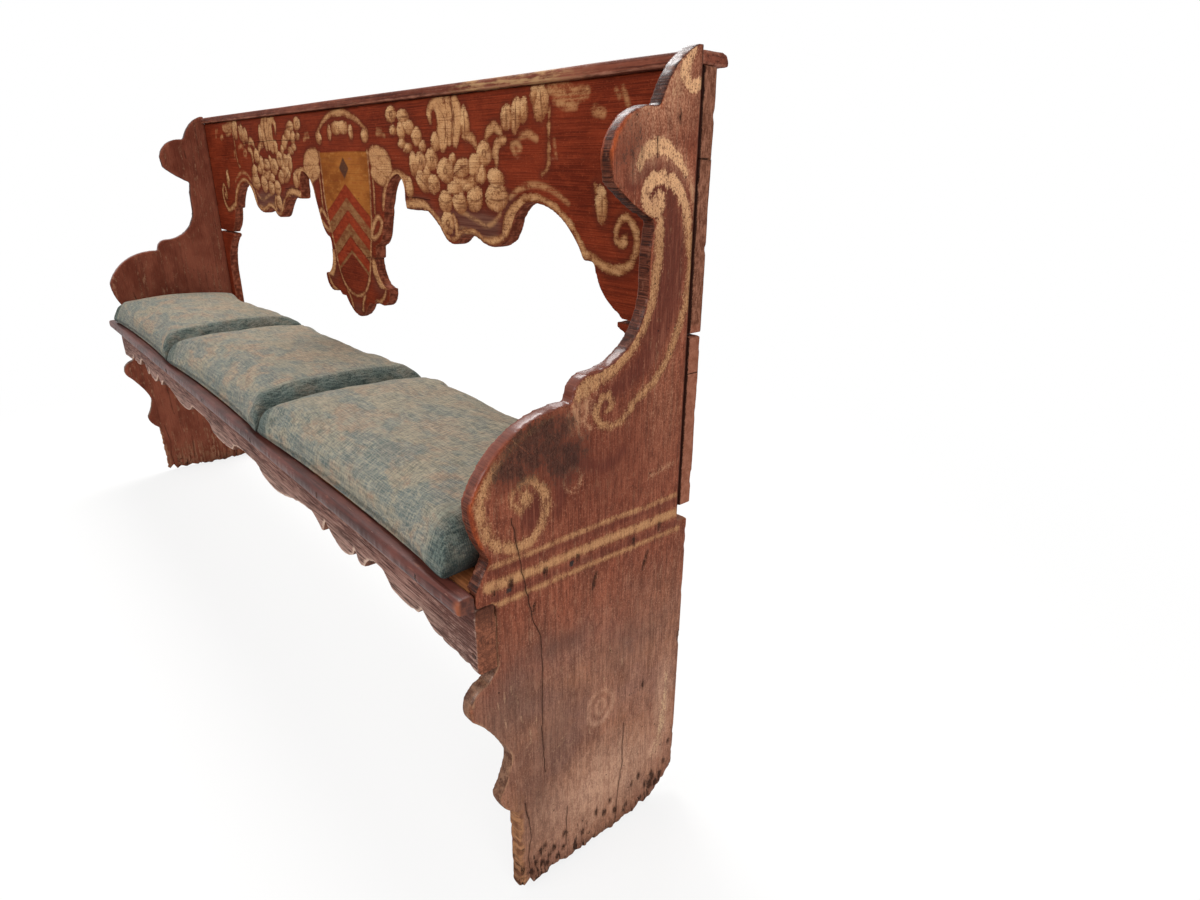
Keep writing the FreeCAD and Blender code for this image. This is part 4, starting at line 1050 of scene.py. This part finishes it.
colour = pale_bar.over(colour, rubs.rise(0.35, 0.65).over((112, 74, 44), (142, 102, 66)))
lozenge = noted(place, "lozenge").rise(-2, 3) * (0.5 + wear.rise(0.4, 0.5) * 0.4)
colour = lozenge.over(colour, (62, 40, 34))
slow = mottle(place, (70, 60, 60), 3.0, 60.0)
border = 5.2 + (slow - 0.5) * 15 - abs(brim - 8.0)
shape = (cream + 1.4).most(border)
lasting = shape + (rubs - 0.5) * 7 + (fleck - 0.5) * 12
coat = lasting.rise(-1.0, 1.6) * (0.4 + 0.6 * (rubs * 0.45 + fleck * 0.55).rise(0.4, 0.5)) * front
coat = coat * (1 - lines.rise(0.53, 0.61) * 0.4)
tone = (shape + (rubs - 0.5) * 8).rise(0, 7).over((124, 75, 46), (182, 134, 91))
bloom = noted(place, "bloom") + (rubs - 0.5) * 2.6
tone = glaze(tone, [
    (bloom.rise(0.0, 0.8), 0.6, (214, 170, 122)),
    (bloom.fall(-0.8, 0.0), 0.65, (132, 82, 50)),
    (brush.rise(0.54, 0.66), 0.35, (208, 162, 120)),
    (fleck.fall(0.4, 0.48), 0.6, (98, 56, 36)),
    (lines.rise(0.55, 0.64), 0.3, (112, 70, 44)),
])
colour = glaze(colour, [
    (coat, 0.93, tone),
    ((noted(place, "vein") + (fleck - 0.5) * 6).rise(-1.0, 0.8), 0.72, (86, 42, 27)),
])
sawn = abs(turn).fall(0.35, 0.8)
notches = mottle(place, (3.0, 60, 3.0), 4.0, 59.0)
sawn_tone = rubs.rise(0.4, 0.62).over((88, 42, 29), (134, 74, 54))
sawn_tone = (notches.rise(0.5, 0.6) * 0.55).over(sawn_tone, (60, 30, 22))
end_grain = mottle(place, (14, 2.2, 10), 4.0, 58.0)
end_tone = (end_grain * 0.6 + rubs * 0.4).rise(0.4, 0.6).over((92, 54, 40), (140, 94, 74))
end_tone = glaze(end_tone, [
    (fleck.fall(0.38, 0.46), 0.6, (56, 34, 27)),
    (fleck.rise(0.55, 0.63), 0.4, (170, 126, 104)),
])
stile_tone = (rubs * 0.6 + fleck * 0.4).rise(0.4, 0.6).over((126, 76, 58), (150, 98, 78))
end_tone = (up.fall(735, 742) * 0.8).over(end_tone, stile_tone)
# Dark lines on the boards' ends: painted shadow where they meet the end panel, and the dark glue
# line of the planks' joint.
joint = (deep + (clouds - 0.5) * 10 + (fleck - 0.5) * 7).fall(149.5, 152)
joint = joint.most((abs(up - PLANK_JOINT) + (rubs - 0.5) * 4).fall(0.8, 1.6))
end_tone = (joint * 0.9).over(end_tone, (30, 19, 15))
sawn_tone = across_x.rise(952, 957).over(sawn_tone, end_tone)
colour = glaze(colour, [
    (sawn, 1, sawn_tone),
    ((edge + (wear - 0.5) * 34).fall(-2, 2), 0.6, (150, 96, 70)),
    (turn.fall(-0.75, -0.3), 1, bare),
])
split = abs(noted(place, "split"))
cleft = split.fall(0.1, 0.7) * (0.4 + rubs)
holes = worm_holes(place, 14, 1.4, 5.0) * clouds.rise(0.57, 0.63)
# Cracks and worm holes are dark, and with them a painted shadow on the back next to the end panels.
gap = across_x.rise(950, 955) * (deep + (fleck - 0.5) * 5).fall(150.5, 153)
sunk = cleft.least(1).most(holes).most(gap)
colour = (sunk * 0.92).over(colour, (28, 13, 10))
gloss = 0.44 + rubs * 0.12 + coat * 0.16 + turn.fall(-0.75, -0.3) * 0.3 + sawn * 0.1
relief = grain * 0.6 + lines * 0.4 + coat * 0.4 + rubs * 0.3 + fleck * 0.3
relief = relief + sawn * notches - sunk * 2.5
lay_on(shader, colour, gloss, relief, 1.0)


def along_scallops(marks):
    """Which marks lie on the front's lower edge, between the pendant and the ends."""
    out = np.abs(marks[:, 0])
    lower_front = (marks[:, 1] < BACK_FRONT + 0.5) & (marks[:, 2] < SCALLOP_TOP)
    return lower_front & (out > SCALLOP_NEAR) & (out < SCALLOP_FAR)


JOINTS = {
    "back_upper_plank": [(2, PLANK_JOINT, -4, PLANK_SHUT)],
    "back_lower_plank": [(2, PLANK_JOINT, 4, PLANK_SHUT)],
    "crest_pendant": [(2, PENDANT_JOINT, 4, PENDANT_SHUT)],
}
for number, (node, face) in enumerate(BACK_NODES.items()):
    name = node.replace("crest_", "").replace("back_", "")
    seed = 301 + 20 * number
    board = aged_board(name, node, face, 1, 0, -1, seed, JOINTS.get(node, ()))
    piece, points, moved, normals, turn, edge = board
    move_to(piece, moved)
    loose = np.stack([drift(points, (60, 60, 50), step) for step in (5, 6)], 1)
    spots = np.stack([np.abs(points[:, 0]), points[:, 2]], 1) + 2.0 * loose
    x, z = spots.T
    side = np.array(SHIELD_SIDE, float)
    shield = np.minimum(SHIELD_TOP - z, z - SHIELD_FOOT)
    shield = np.minimum(np.interp(z, side[::-1, 1], side[::-1, 0]) - x, shield)
    chevron = BARS_TOP - BARS_SLOPE * x - z
    barred = np.minimum(shield, np.minimum(chevron, BARS_DEEP - chevron))
    stripe, tan = (
        np.minimum(BAR - np.abs(chevron % (4 * BAR) - middle), barred) for middle in (BAR, 3 * BAR)
    )
    lozenge = (1 - x / LOZENGE_WIDE - np.abs(z - LOZENGE_UP) / LOZENGE_HIGH) * 16
    shapes = [dab(spots, centre, radii, *tilt) for centre, radii, *tilt in PETALS + FLOWERS]
    shapes += [stroke(spots, corners, *widths) for corners, widths in LEAVES]
    lit = [(spots - centre) @ PETAL_LIGHT / min(radii) for centre, radii, *tilt in PETALS + FLOWERS]
    lit += [np.zeros(len(spots))] * len(LEAVES)
    uppermost = np.argmax(shapes, axis=0)
    bloom = np.take_along_axis(np.array(lit), uppermost[None], axis=0)[0]
    bloom = np.where(np.max(shapes, axis=0) > -2, np.clip(bloom, -1, 1), 0)
    dabs = np.sort(shapes, axis=0)
    parted = np.minimum(dabs[-1], 1.4 * (dabs[-1] - dabs[-2]) - 1.2)
    cream = np.max([
        np.where(dabs[-2] > 0, parted, dabs[-1]),
        stroke(spots, SHIELD_SIDE, 5),
        stroke(spots, [(131, 940), (131, 900), (130, 862), (128, 828)], 5),
        dab(spots, (843, 829), (7, 7)),
    ], axis=0)
    vein = np.max(
        [stroke(spots, corners, 2, 3.4, 2) for corners in VEINS]
        + [ring(spots, centre, (7, 6), 3) for centre, radii in FLOWERS],
        axis=0,
    )
    faint = np.max([stroke(spots, corners, *widths) for corners, widths in FADED], axis=0)
    murk = np.max([
        dab(spots, (470, 826), (140, 34)) / 14,
        dab(spots, (300, 850), (80, 22)) / 16,
        dab(spots, (200, 860), (50, 40)) / 40,
        dab(spots, (590, 850), (36, 36)) / 30,
        dab(spots, (120, 700), (46, 50)) / 60,
        dab(spots, (0, 622), (70, 30)) / 40,
    ], axis=0)
    front = turn > FACE_ON
    brim = np.full(len(points), BRIM_REACH)
    if node == "back_lower_plank":
        brim = nearness(points, sharp_points(node, along_scallops), BRIM_REACH)
    for word, values in (
        ("cream", cream), ("vein", vein), ("faint", faint), ("stripe", stripe), ("tan", tan),
        ("ochre", np.minimum(-chevron, shield)), ("lozenge", lozenge),
    ):
        note(piece, word, np.where(front, np.clip(values, OUTSIDE, 40), OUTSIDE))
    note(piece, "brim", np.where(front, brim, BRIM_REACH))
    note(piece, "bloom", np.where(front, bloom, 0))
    note(piece, "murk", np.where(front, np.clip(murk, 0, 1), 0))
    ragged = points[:, 2] + drift(points, (14, 60, 60), 7)
    note(piece, "split", split_along(points[:, 0], ragged, BACK_SPLITS))
    fit(piece, "bench", back_finish, "painted_wood", node)


# Cap: a moulded strip with a rounded front lip nailed along the top of the back. Its dull red paint
# is scratched along the grain and smeared with the cream of the ornament below.
CAP_FACE = 2.8

cap_finish, shader, place = new_finish("dull red paint on cap", {"Specular IOR Level": 0.03})
edge = noted(place, "edge")
across_x = part_of(place, "X")
grain = mottle(place, (140, 3.2, 2.6), 4.0, 61.0)
clouds = mottle(place, (130, 40, 40), 4.0, 62.0)
rubs = mottle(place, (36, 8, 8), 4.0, 63.0)
scratches = mottle(place, (40, 2.2, 1.8), 3.0, 64.0)
colour = clouds.rise(0.36, 0.64).over((92, 46, 34), (124, 70, 54))
colour = glaze(colour, [
    (grain.rise(0.46, 0.62), 0.75, (62, 32, 26)),
    (scratches.rise(0.56, 0.66), 0.6, (156, 102, 80)),
])
worn = (edge + (rubs - 0.5) * 10).fall(0.5, 4)
colour = (worn * 0.7).over(colour, (164, 112, 92))
ragged = across_x + (rubs - 0.5) * 160
smear = ragged.rise(430, 540) * ragged.fall(700, 800)
smear = smear * (rubs * 0.6 + grain * 0.4).rise(0.42, 0.56)
colour = (smear * 0.7).over(colour, (186, 146, 104))
relief = grain + rubs * 0.6 - scratches.rise(0.58, 0.68) * 0.5
lay_on(shader, colour, 0.48 + rubs * 0.16, relief, 0.9)

fit_board(cap_finish, "painted_wood", "cap", "back_cap", CAP_FACE, 2, 0, 1, 421)


# Dowels: round oak pegs in the edge joints of the back's planks. They are whittled to fit and
# driven in with glue, so that none of them shows and only their solids are kept.
dowel_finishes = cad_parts["back_dowels"].data.materials
dowel_finishes.clear()
dowel_finishes.append(bare_finish)


# Nails: hand-forged iron with flat hammered heads of uneven outline. They are driven flush through
# the boards and have rusted dark into the wood.
NAIL_NODES = (
    "seat_nails", "rail_nails", "apron_nails", "nosing_nails", "seat_top_nails", "back_nails",
    "stile_nails", "cap_nails",
)
HEAD_RADIUS = 5.0
SHANK_LENGTH = 16.0

iron_finish, shader, place = new_finish("rusted forged iron", {"Specular IOR Level": 0.2})
lumps = mottle(place, (3, 3, 3), 3.0, 71.0)
rust = mottle(place, (7, 7, 7), 4.0, 72.0)
colour = rust.rise(0.42, 0.62).over((38, 28, 25), (84, 48, 34))
lay_on(shader, colour, 0.6 + rust * 0.3, lumps, 0.6)

RINGS = (
    (0.0, 0.2), (0.45, 0.1), (0.8, -0.1), (1.0, -0.6), (0.92, -1.6), (0.5, -2.2), (0.46, -9.0),
    (0.2, -SHANK_LENGTH),
)
SIDES = 12
for node in NAIL_NODES:
    shape = bmesh.new()
    shape.from_mesh(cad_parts[node].data)
    bmesh.ops.remove_doubles(shape, verts=shape.verts, dist=0.01 * MM)
    left = set(shape.verts)
    spread = []
    while left:
        island = [left.pop()]
        for vertex in island:
            for edge in vertex.link_edges:
                other = edge.other_vert(vertex)
                if other in left:
                    left.remove(other)
                    island.append(other)
        corners = np.array([vertex.co for vertex in island]) / MM
        spread.append((corners.min(0), corners.max(0)))
    shape.free()
    heads = bmesh.new()
    rng = np.random.default_rng(len(node))
    for low, high in sorted(spread, key=lambda pair: tuple(np.round(pair[0], 3))):
        axis = int(np.argmax(high - low))
        middle = (low + high) / 2
        out = np.zeros(3)
        if axis == 2:
            out[2] = 1
        elif axis == 0:
            out[0] = np.sign(middle[0])
        else:
            out[1] = -1 if middle[1] < 0 else 1
        top = middle + out * (high - low)[axis] / 2
        first = np.roll(np.abs(out), 1)
        second = np.cross(out, first)
        rim = HEAD_RADIUS * rng.uniform(0.86, 1.1, SIDES)
        rows = []
        for share, rise in RINGS:
            row = []
            for side in range(SIDES):
                angle = 2 * np.pi * side / SIDES
                reach = share * (rim[side] if share > 0.7 else HEAD_RADIUS)
                spot = top + reach * (np.cos(angle) * first + np.sin(angle) * second)
                spot = spot + out * (0.9 * rise + rng.uniform(-0.15, 0.15) * (share > 0.1))
                row.append(heads.verts.new(spot * MM))
            rows.append(row)
        for upper, lower in zip(rows, rows[1:]):
            for side in range(SIDES):
                other = (side + 1) % SIDES
                heads.faces.new((upper[side], lower[side], lower[other], upper[other]))
        heads.faces.new(rows[-1][::-1])
    bmesh.ops.remove_doubles(heads, verts=heads.verts, dist=0.01 * MM)
    bmesh.ops.recalc_face_normals(heads, faces=heads.faces)
    made = bpy.data.meshes.new(node)
    heads.to_mesh(made)
    heads.free()
    made.shade_smooth()
    piece = set_up(node.replace("_nails", "_nail_heads"), made)
    fit(piece, "bench", iron_finish, "forged_iron", node)


# Cushions: three loose pillows in a ribbed cotton cover, faded from teal to grey-green and tan,
# sewn along one seam low on the sides and filled with wool. They lie side by side on the seat.
CUSHION_STEP = 5.5
SEAT_TOP = 488.5
SEAM_UP = 7.0
CROWN = 60.0
SWELL = 9.0
FRAMES = 20
PRESSURE = 4
STRETCH = 0.035
TUCK = np.radians(104)
WRAP_ROWS = 9
END_REACH, SIDE_REACH = 24, 18
END_SLOPE, SIDE_SLOPE = 130, 150

cloth_finish, shader, place = new_finish("faded ribbed cotton", {
    "Specular IOR Level": 0.02, "Sheen Weight": 0.06, "Sheen Roughness": 0.5,
})
rib = {"Vector": place, "Scale": 120.0, "Distortion": 1.6, "Detail": 2.0, "Detail Scale": 2.0}
ribs = place.node("ShaderNodeTexWave", {"bands_direction": "Y"}, rib, 1)
warp = place.node("ShaderNodeTexWave", {"bands_direction": "X"}, {**rib, "Scale": 150.0}, 1)
weft = mottle(place, (22, 1.7, 1.7), 3.0, 81.0)
ends = mottle(place, (1.7, 14, 14), 3.0, 87.0)
slubs = mottle(place, (30, 6, 7), 4.0, 82.0)
clouds = mottle(place, (160, 110, 90), 5.0, 83.0)
patches = mottle(place, (74, 46, 40), 5.0, 84.0)
blues = mottle(place, (80, 44, 40), 5.0, 86.0)
fuzz = mottle(place, (2.4, 1.6, 1.6), 2.0, 85.0)
hem = noted(place, "hem")
near_front = part_of(place, "Y").fall(-140, 50)
colour = clouds.rise(0.38, 0.62).over((148, 134, 112), (134, 129, 114))
colour = (patches.rise(0.46, 0.57) * (0.38 + near_front * 0.3)).over(colour, (160, 117, 91))
blued = (blues + hem * 0.06).rise(0.48, 0.58) * (0.46 + near_front * 0.3)
colour = glaze(colour, [
    (blued, 1, (74, 100, 106)),
    (slubs.rise(0.5, 0.6), 0.3, (178, 164, 138)),
    (slubs.fall(0.4, 0.5), 0.3, (96, 100, 96)),
    (weft.rise(0.51, 0.59), 0.34, (188, 174, 150)),
    (weft.fall(0.41, 0.49), 0.48, (80, 84, 80)),
    (ends.rise(0.52, 0.58), 0.33, (188, 174, 150)),
    (ends.fall(0.42, 0.48), 0.5, (82, 86, 82)),
    (fuzz.rise(0.54, 0.64), 0.3, (190, 176, 150)),
    (ribs.rise(0.6, 0.95), 0.16, (188, 176, 152)),
    (warp.fall(0.1, 0.4), 0.14, (76, 80, 76)),
    (near_front, 0.14, (82, 94, 92)),
])
at_end = noted(place, "end")
low_side = noted(place, "side")
# The ends are dark teal: partly the cover's own colour and partly painted shade, darkest low down.
end = at_end * (0.7 + patches.fall(0.4, 0.6) * 0.3)
end_tone = (ends * 0.5 + weft * 0.5).rise(0.42, 0.58).over((44, 56, 55), (94, 106, 100))
end_tone = (low_side.rise(0.1, 0.8) * 0.72).over(end_tone, (20, 26, 26))
colour = (end * 0.9).over(colour, end_tone)
# Along the seam the cover is darkened: a seam line, and a painted contact shadow where the cushion
# meets the seat.
seam_line_and_shade = noted(place, "seam").fall(0.8, 3)
# A pale line along the fold at each end: partly a worn crease and partly a painted highlight.
crease = at_end.rise(0.25, 0.5) * at_end.fall(0.5, 0.75)
colour = glaze(colour, [
    # painted contact shadow low on the ends
    (at_end * low_side.rise(0.45, 1.0), 0.6, (18, 22, 22)),
    (seam_line_and_shade, 0.55, (40, 42, 40)),
    (crease, 0.15 + slubs.rise(0.4, 0.6) * 0.25, (158, 156, 138)),
])
weave = ribs * 0.5 + warp * 0.4 + weft * 1.0 + ends * 0.8 + slubs * 0.8 + fuzz * 0.6
weave = weave - seam_line_and_shade * 1.5 + crease * 0.8
lay_on(shader, colour, 0.84 + fuzz * 0.1, weave, 0.8)


def wrap(length, reach):
    """The rows of a cover from one seam to the other, along a pillow of this length.

    Gives each row's distance from the nearest seam above and below, and how far up its side the
    cover has come there: 0 at the seam, which is tucked under the bulge, and 1 on the top."""
    angles = TUCK * (1 - np.arange(WRAP_ROWS) / WRAP_ROWS)
    risen = (np.cos(angles) - np.cos(TUCK)) / (1 - np.cos(TUCK))
    above = reach * (1 - np.sin(angles))
    below = above[0] + (reach - above[0]) * np.arange(WRAP_ROWS) / WRAP_ROWS
    count = int((length - 2 * reach) / CUSHION_STEP)
    middle = np.linspace(reach, length - reach, count + 1)
    plain = np.minimum(middle, length - middle)
    return (
        np.concatenate([above, middle, length - above[::-1]]),
        np.concatenate([below, middle, length - below[::-1]]),
        np.concatenate([above, plain, above[::-1]]),
        np.concatenate([risen, np.ones(count + 1), risen[::-1]]),
    )


def slope(away, reach):
    """The gentle rise of the top over this reach from its edge, a quarter of an oval."""
    return np.sqrt(1 - np.clip(1 - away / reach, 0, 1) ** 2)


def sewn_bag(name, low, size):
    """Two sheets of cover sewn round their edge: a flat one below and a crowned one above."""
    x_above, x_below, x_away, x_risen = wrap(size[0], END_REACH)
    y_above, y_below, y_away, y_risen = wrap(size[1], SIDE_REACH)
    grid = {"indexing": "ij"}
    u, v = np.meshgrid(2 * x_above / size[0] - 1, 2 * y_above / size[1] - 1, **grid)
    boxed = 0.4 + 0.4 * np.clip((np.abs(u) - 0.5) / 0.45, 0, 1) ** 2
    boxed = np.where(v < 0, boxed, 0.7)
    full = np.where(x_above < size[0] / 2, 0.42, 0.8)
    end_share = full * x_risen + (1 - full) * slope(x_away, END_SLOPE)
    side_share = boxed * y_risen[None, :] + (1 - boxed) * slope(y_away, SIDE_SLOPE)[None, :]
    upper = SEAT_TOP + SEAM_UP + CROWN * end_share[:, None] * side_share
    pulled = [0.010 * size[0] * (1 - v * v) * u ** 5, 0.022 * size[1] * (1 - u * u) * v ** 5]
    flat = np.meshgrid(x_below, y_below, **grid)
    rim = np.zeros(u.shape, bool)
    rim[[0, -1], :] = True
    rim[:, [0, -1]] = True
    seams = [np.minimum(row, length - row) for row, length in zip((x_below, y_below), size)]
    gap = np.minimum(*np.meshgrid(*seams, **grid))
    top = np.stack([
        low[0] + (u + 1) * size[0] / 2 - pulled[0],
        low[1] + (v + 1) * size[1] / 2 - pulled[1],
        upper,
    ], -1)
    base = np.stack([
        low[0] + flat[0] - pulled[0],
        low[1] + flat[1] - pulled[1],
        SEAT_TOP + SEAM_UP * np.exp(-gap / 4),
    ], -1)
    number = np.arange(u.size).reshape(u.shape)
    below = number.copy()
    below[~rim] = u.size + np.arange((~rim).sum())
    faces = []
    for sheet, inside_out in ((number, False), (below, True)):
        corners = [sheet[:-1, :-1], sheet[1:, :-1], sheet[1:, 1:], sheet[:-1, 1:]]
        quads = np.stack(corners, -1).reshape(-1, 4)
        faces.append(quads[:, ::-1] if inside_out else quads)
    points = np.concatenate([top.reshape(-1, 3), base[~rim]])
    made = bpy.data.meshes.new(name)
    made.from_pydata((points * MM).tolist(), [], np.concatenate(faces).tolist())
    made.shade_smooth()
    bag = set_up(name, made)
    side = np.broadcast_to(1 - x_risen[:, None], u.shape)
    end = np.broadcast_to(np.clip((56 - x_away) / 28, 0, 1)[:, None], u.shape)
    front = np.broadcast_to(np.exp(-(y_above - y_above[0]) / 45), u.shape)
    notes = {"seam": gap, "side": side, "end": end, "hem": front}
    for key, each in notes.items():
        notes[key] = np.concatenate([each.ravel(), each[~rim]])
    return bag, points, notes


def stuffed(bag, start):
    """The bag's points when its filling has swollen it, no point further than the swell."""
    held = bag.vertex_groups.new(name="held")
    held.add(np.flatnonzero(start[:, 2] < SEAT_TOP + SEAM_UP + 0.5).tolist(), 1.0, "REPLACE")
    stuffing = bag.modifiers.new("stuffing", "CLOTH")
    cloth = stuffing.settings
    cloth.use_pressure = True
    cloth.uniform_pressure_force = PRESSURE
    cloth.effector_weights.gravity = 0
    cloth.shrink_min = -STRETCH
    cloth.vertex_group_mass = "held"
    cloth.quality = 6
    stuffing.collision_settings.use_self_collision = False
    stuffing.point_cache.frame_start = 1
    stuffing.point_cache.frame_end = FRAMES
    for number in range(1, FRAMES + 1):
        bpy.context.scene.frame_set(number)
    graph = bpy.context.evaluated_depsgraph_get()
    swollen = read(bag.evaluated_get(graph).data, "co") / MM
    bag.modifiers.clear()
    bpy.context.scene.frame_set(1)
    move = swollen - start
    length = np.linalg.norm(move, axis=1)
    return start + move * np.minimum(1, SWELL / np.maximum(length, 1e-6))[:, None]


for number, side in enumerate(("left", "middle", "right")):
    node = f"cushion_{side}"
    seed = 501 + 10 * number
    low, high = (np.array(corner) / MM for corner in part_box(node))
    cushion, points, notes = sewn_bag(f"pillow_{side}", low + 2, (high - low)[:2] - 4)
    raised = np.clip((points[:, 2] - SEAT_TOP - SEAM_UP) / 50, 0, 1)
    points[:, 2] += raised * 5 * drift(points, (170, 120, 400), seed)
    points[:, 2] += raised * 2.2 * drift(points, (60, 45, 400), seed + 1)
    move_to(cushion, points)
    points = stuffed(cushion, points)
    gap = notes["seam"]
    pucker = np.exp(-gap / 22) * np.clip(gap / 4, 0, 1) * drift(points, (13, 13, 60), seed + 2)
    points[:, 2] += 1.6 * pucker * np.sign(points[:, 2] - SEAT_TOP - SEAM_UP * 0.5)
    points[:, 2] = np.maximum(points[:, 2], SEAT_TOP)
    points[:, :2] = np.clip(points[:, :2], low[:2] - 1, high[:2] + 1)
    move_to(cushion, points)
    for name, values in notes.items():
        note(cushion, name, values)
    finer = cushion.modifiers.new("finer", "SUBSURF")
    finer.levels = 1
    finer.render_levels = 1
    fit(cushion, f"{side}_cushion", cloth_finish, "cushion_cloth", node)


# Studio: a plain pale floor, soft light from the upper left and the front, and the camera to the
# right of the bench, above its arm.
FLOOR_REACH = 30.0


def seen_rays(tree):
    """1 for what is seen straight, mirrored or through glass, and 0 for the light on the bench."""
    rays = tree.nodes.new("ShaderNodeLightPath")
    kinds = ("Camera", "Glossy", "Transmission")
    straight, mirrored, through = (Wire(tree, rays.outputs[f"Is {kind} Ray"]) for kind in kinds)
    return straight.most(mirrored).most(through)


floor_mesh = bpy.data.meshes.new("floor")
ways = ((-1, -1), (1, -1), (1, 1), (-1, 1))
floor_corners = [(x * FLOOR_REACH, y * FLOOR_REACH, 0) for x, y in ways]
floor_mesh.from_pydata(floor_corners, [], [(0, 1, 2, 3)])
floor = set_up("floor", floor_mesh)
floor_finish = bpy.data.materials.new("pale floor")
floor_finish.use_nodes = True
tree = floor_finish.node_tree
tree.nodes.clear()
seen = seen_rays(tree)
matt = seen.node("ShaderNodeBsdfDiffuse", values={"Color": paint(240, 239, 237)})
white = seen.node("ShaderNodeEmission", values={"Color": (1, 1, 1, 1), "Strength": 1.0})
spot = Wire(tree, tree.nodes.new("ShaderNodeTexCoord").outputs["Object"])
away = spot.node("ShaderNodeVectorMath", {"operation": "LENGTH"}, {0: spot}, 1)
whitened = seen * (0.8 + away.rise(1.0, 2.4) * 0.2)
mixed = seen.node("ShaderNodeMixShader", values={0: whitened, 1: matt, 2: white})
seen.node("ShaderNodeOutputMaterial", values={0: mixed})
floor_mesh.materials.append(floor_finish)

world = bpy.data.worlds.new("studio")
bpy.context.scene.world = world
world.use_nodes = True
tree = world.node_tree
tree.nodes.clear()
seen = seen_rays(tree)
soft = seen.node("ShaderNodeBackground", values={"Color": (1, 1, 1, 1), "Strength": 0.42})
white = seen.node("ShaderNodeBackground", values={"Color": (1, 1, 1, 1), "Strength": 1.0})
mixed = seen.node("ShaderNodeMixShader", values={0: seen, 1: soft, 2: white})
seen.node("ShaderNodeOutputWorld", values={0: mixed})


def lamp(name, where, towards, size, power):
    """A wide soft lamp."""
    light = bpy.data.lights.new(name, "AREA")
    light.shape = "RECTANGLE"
    light.size, light.size_y = size
    light.energy = power
    placed = set_up(name, light)
    placed.location = where
    placed.rotation_euler = (Vector(towards) - Vector(where)).to_track_quat("-Z", "Y").to_euler()


lamp("overhead", (-1.2, 0.6, 3.3), (0.5, 0.0, 0.8), (1.2, 1.2), 75)
lamp("behind", (-1.3, 1.8, 2.4), (0.6, 0.0, 0.6), (1.6, 1.6), 40)
lamp("front", (0.4, -3.2, 2.4), (0.3, 0.1, 0.7), (2.4, 1.8), 62)
lamp("right", (3.7, -1.0, 1.7), (0.8, 0.0, 0.5), (2.0, 2.2), 58)

camera = set_up("camera", bpy.data.cameras.new("camera"))
camera.data.sensor_width = 36
camera.data.lens = 21.75
camera.matrix_world = Matrix((
    (0.6605, -0.2788, 0.6971, 1.5428),
    (0.7492, 0.2289, -0.6215, -0.5124),
    (0.0140, 0.9322, 0.3618, 0.9145),
    (0, 0, 0, 1),
))
bpy.context.scene.camera = camera
bpy.context.scene.view_settings.view_transform = "Standard"
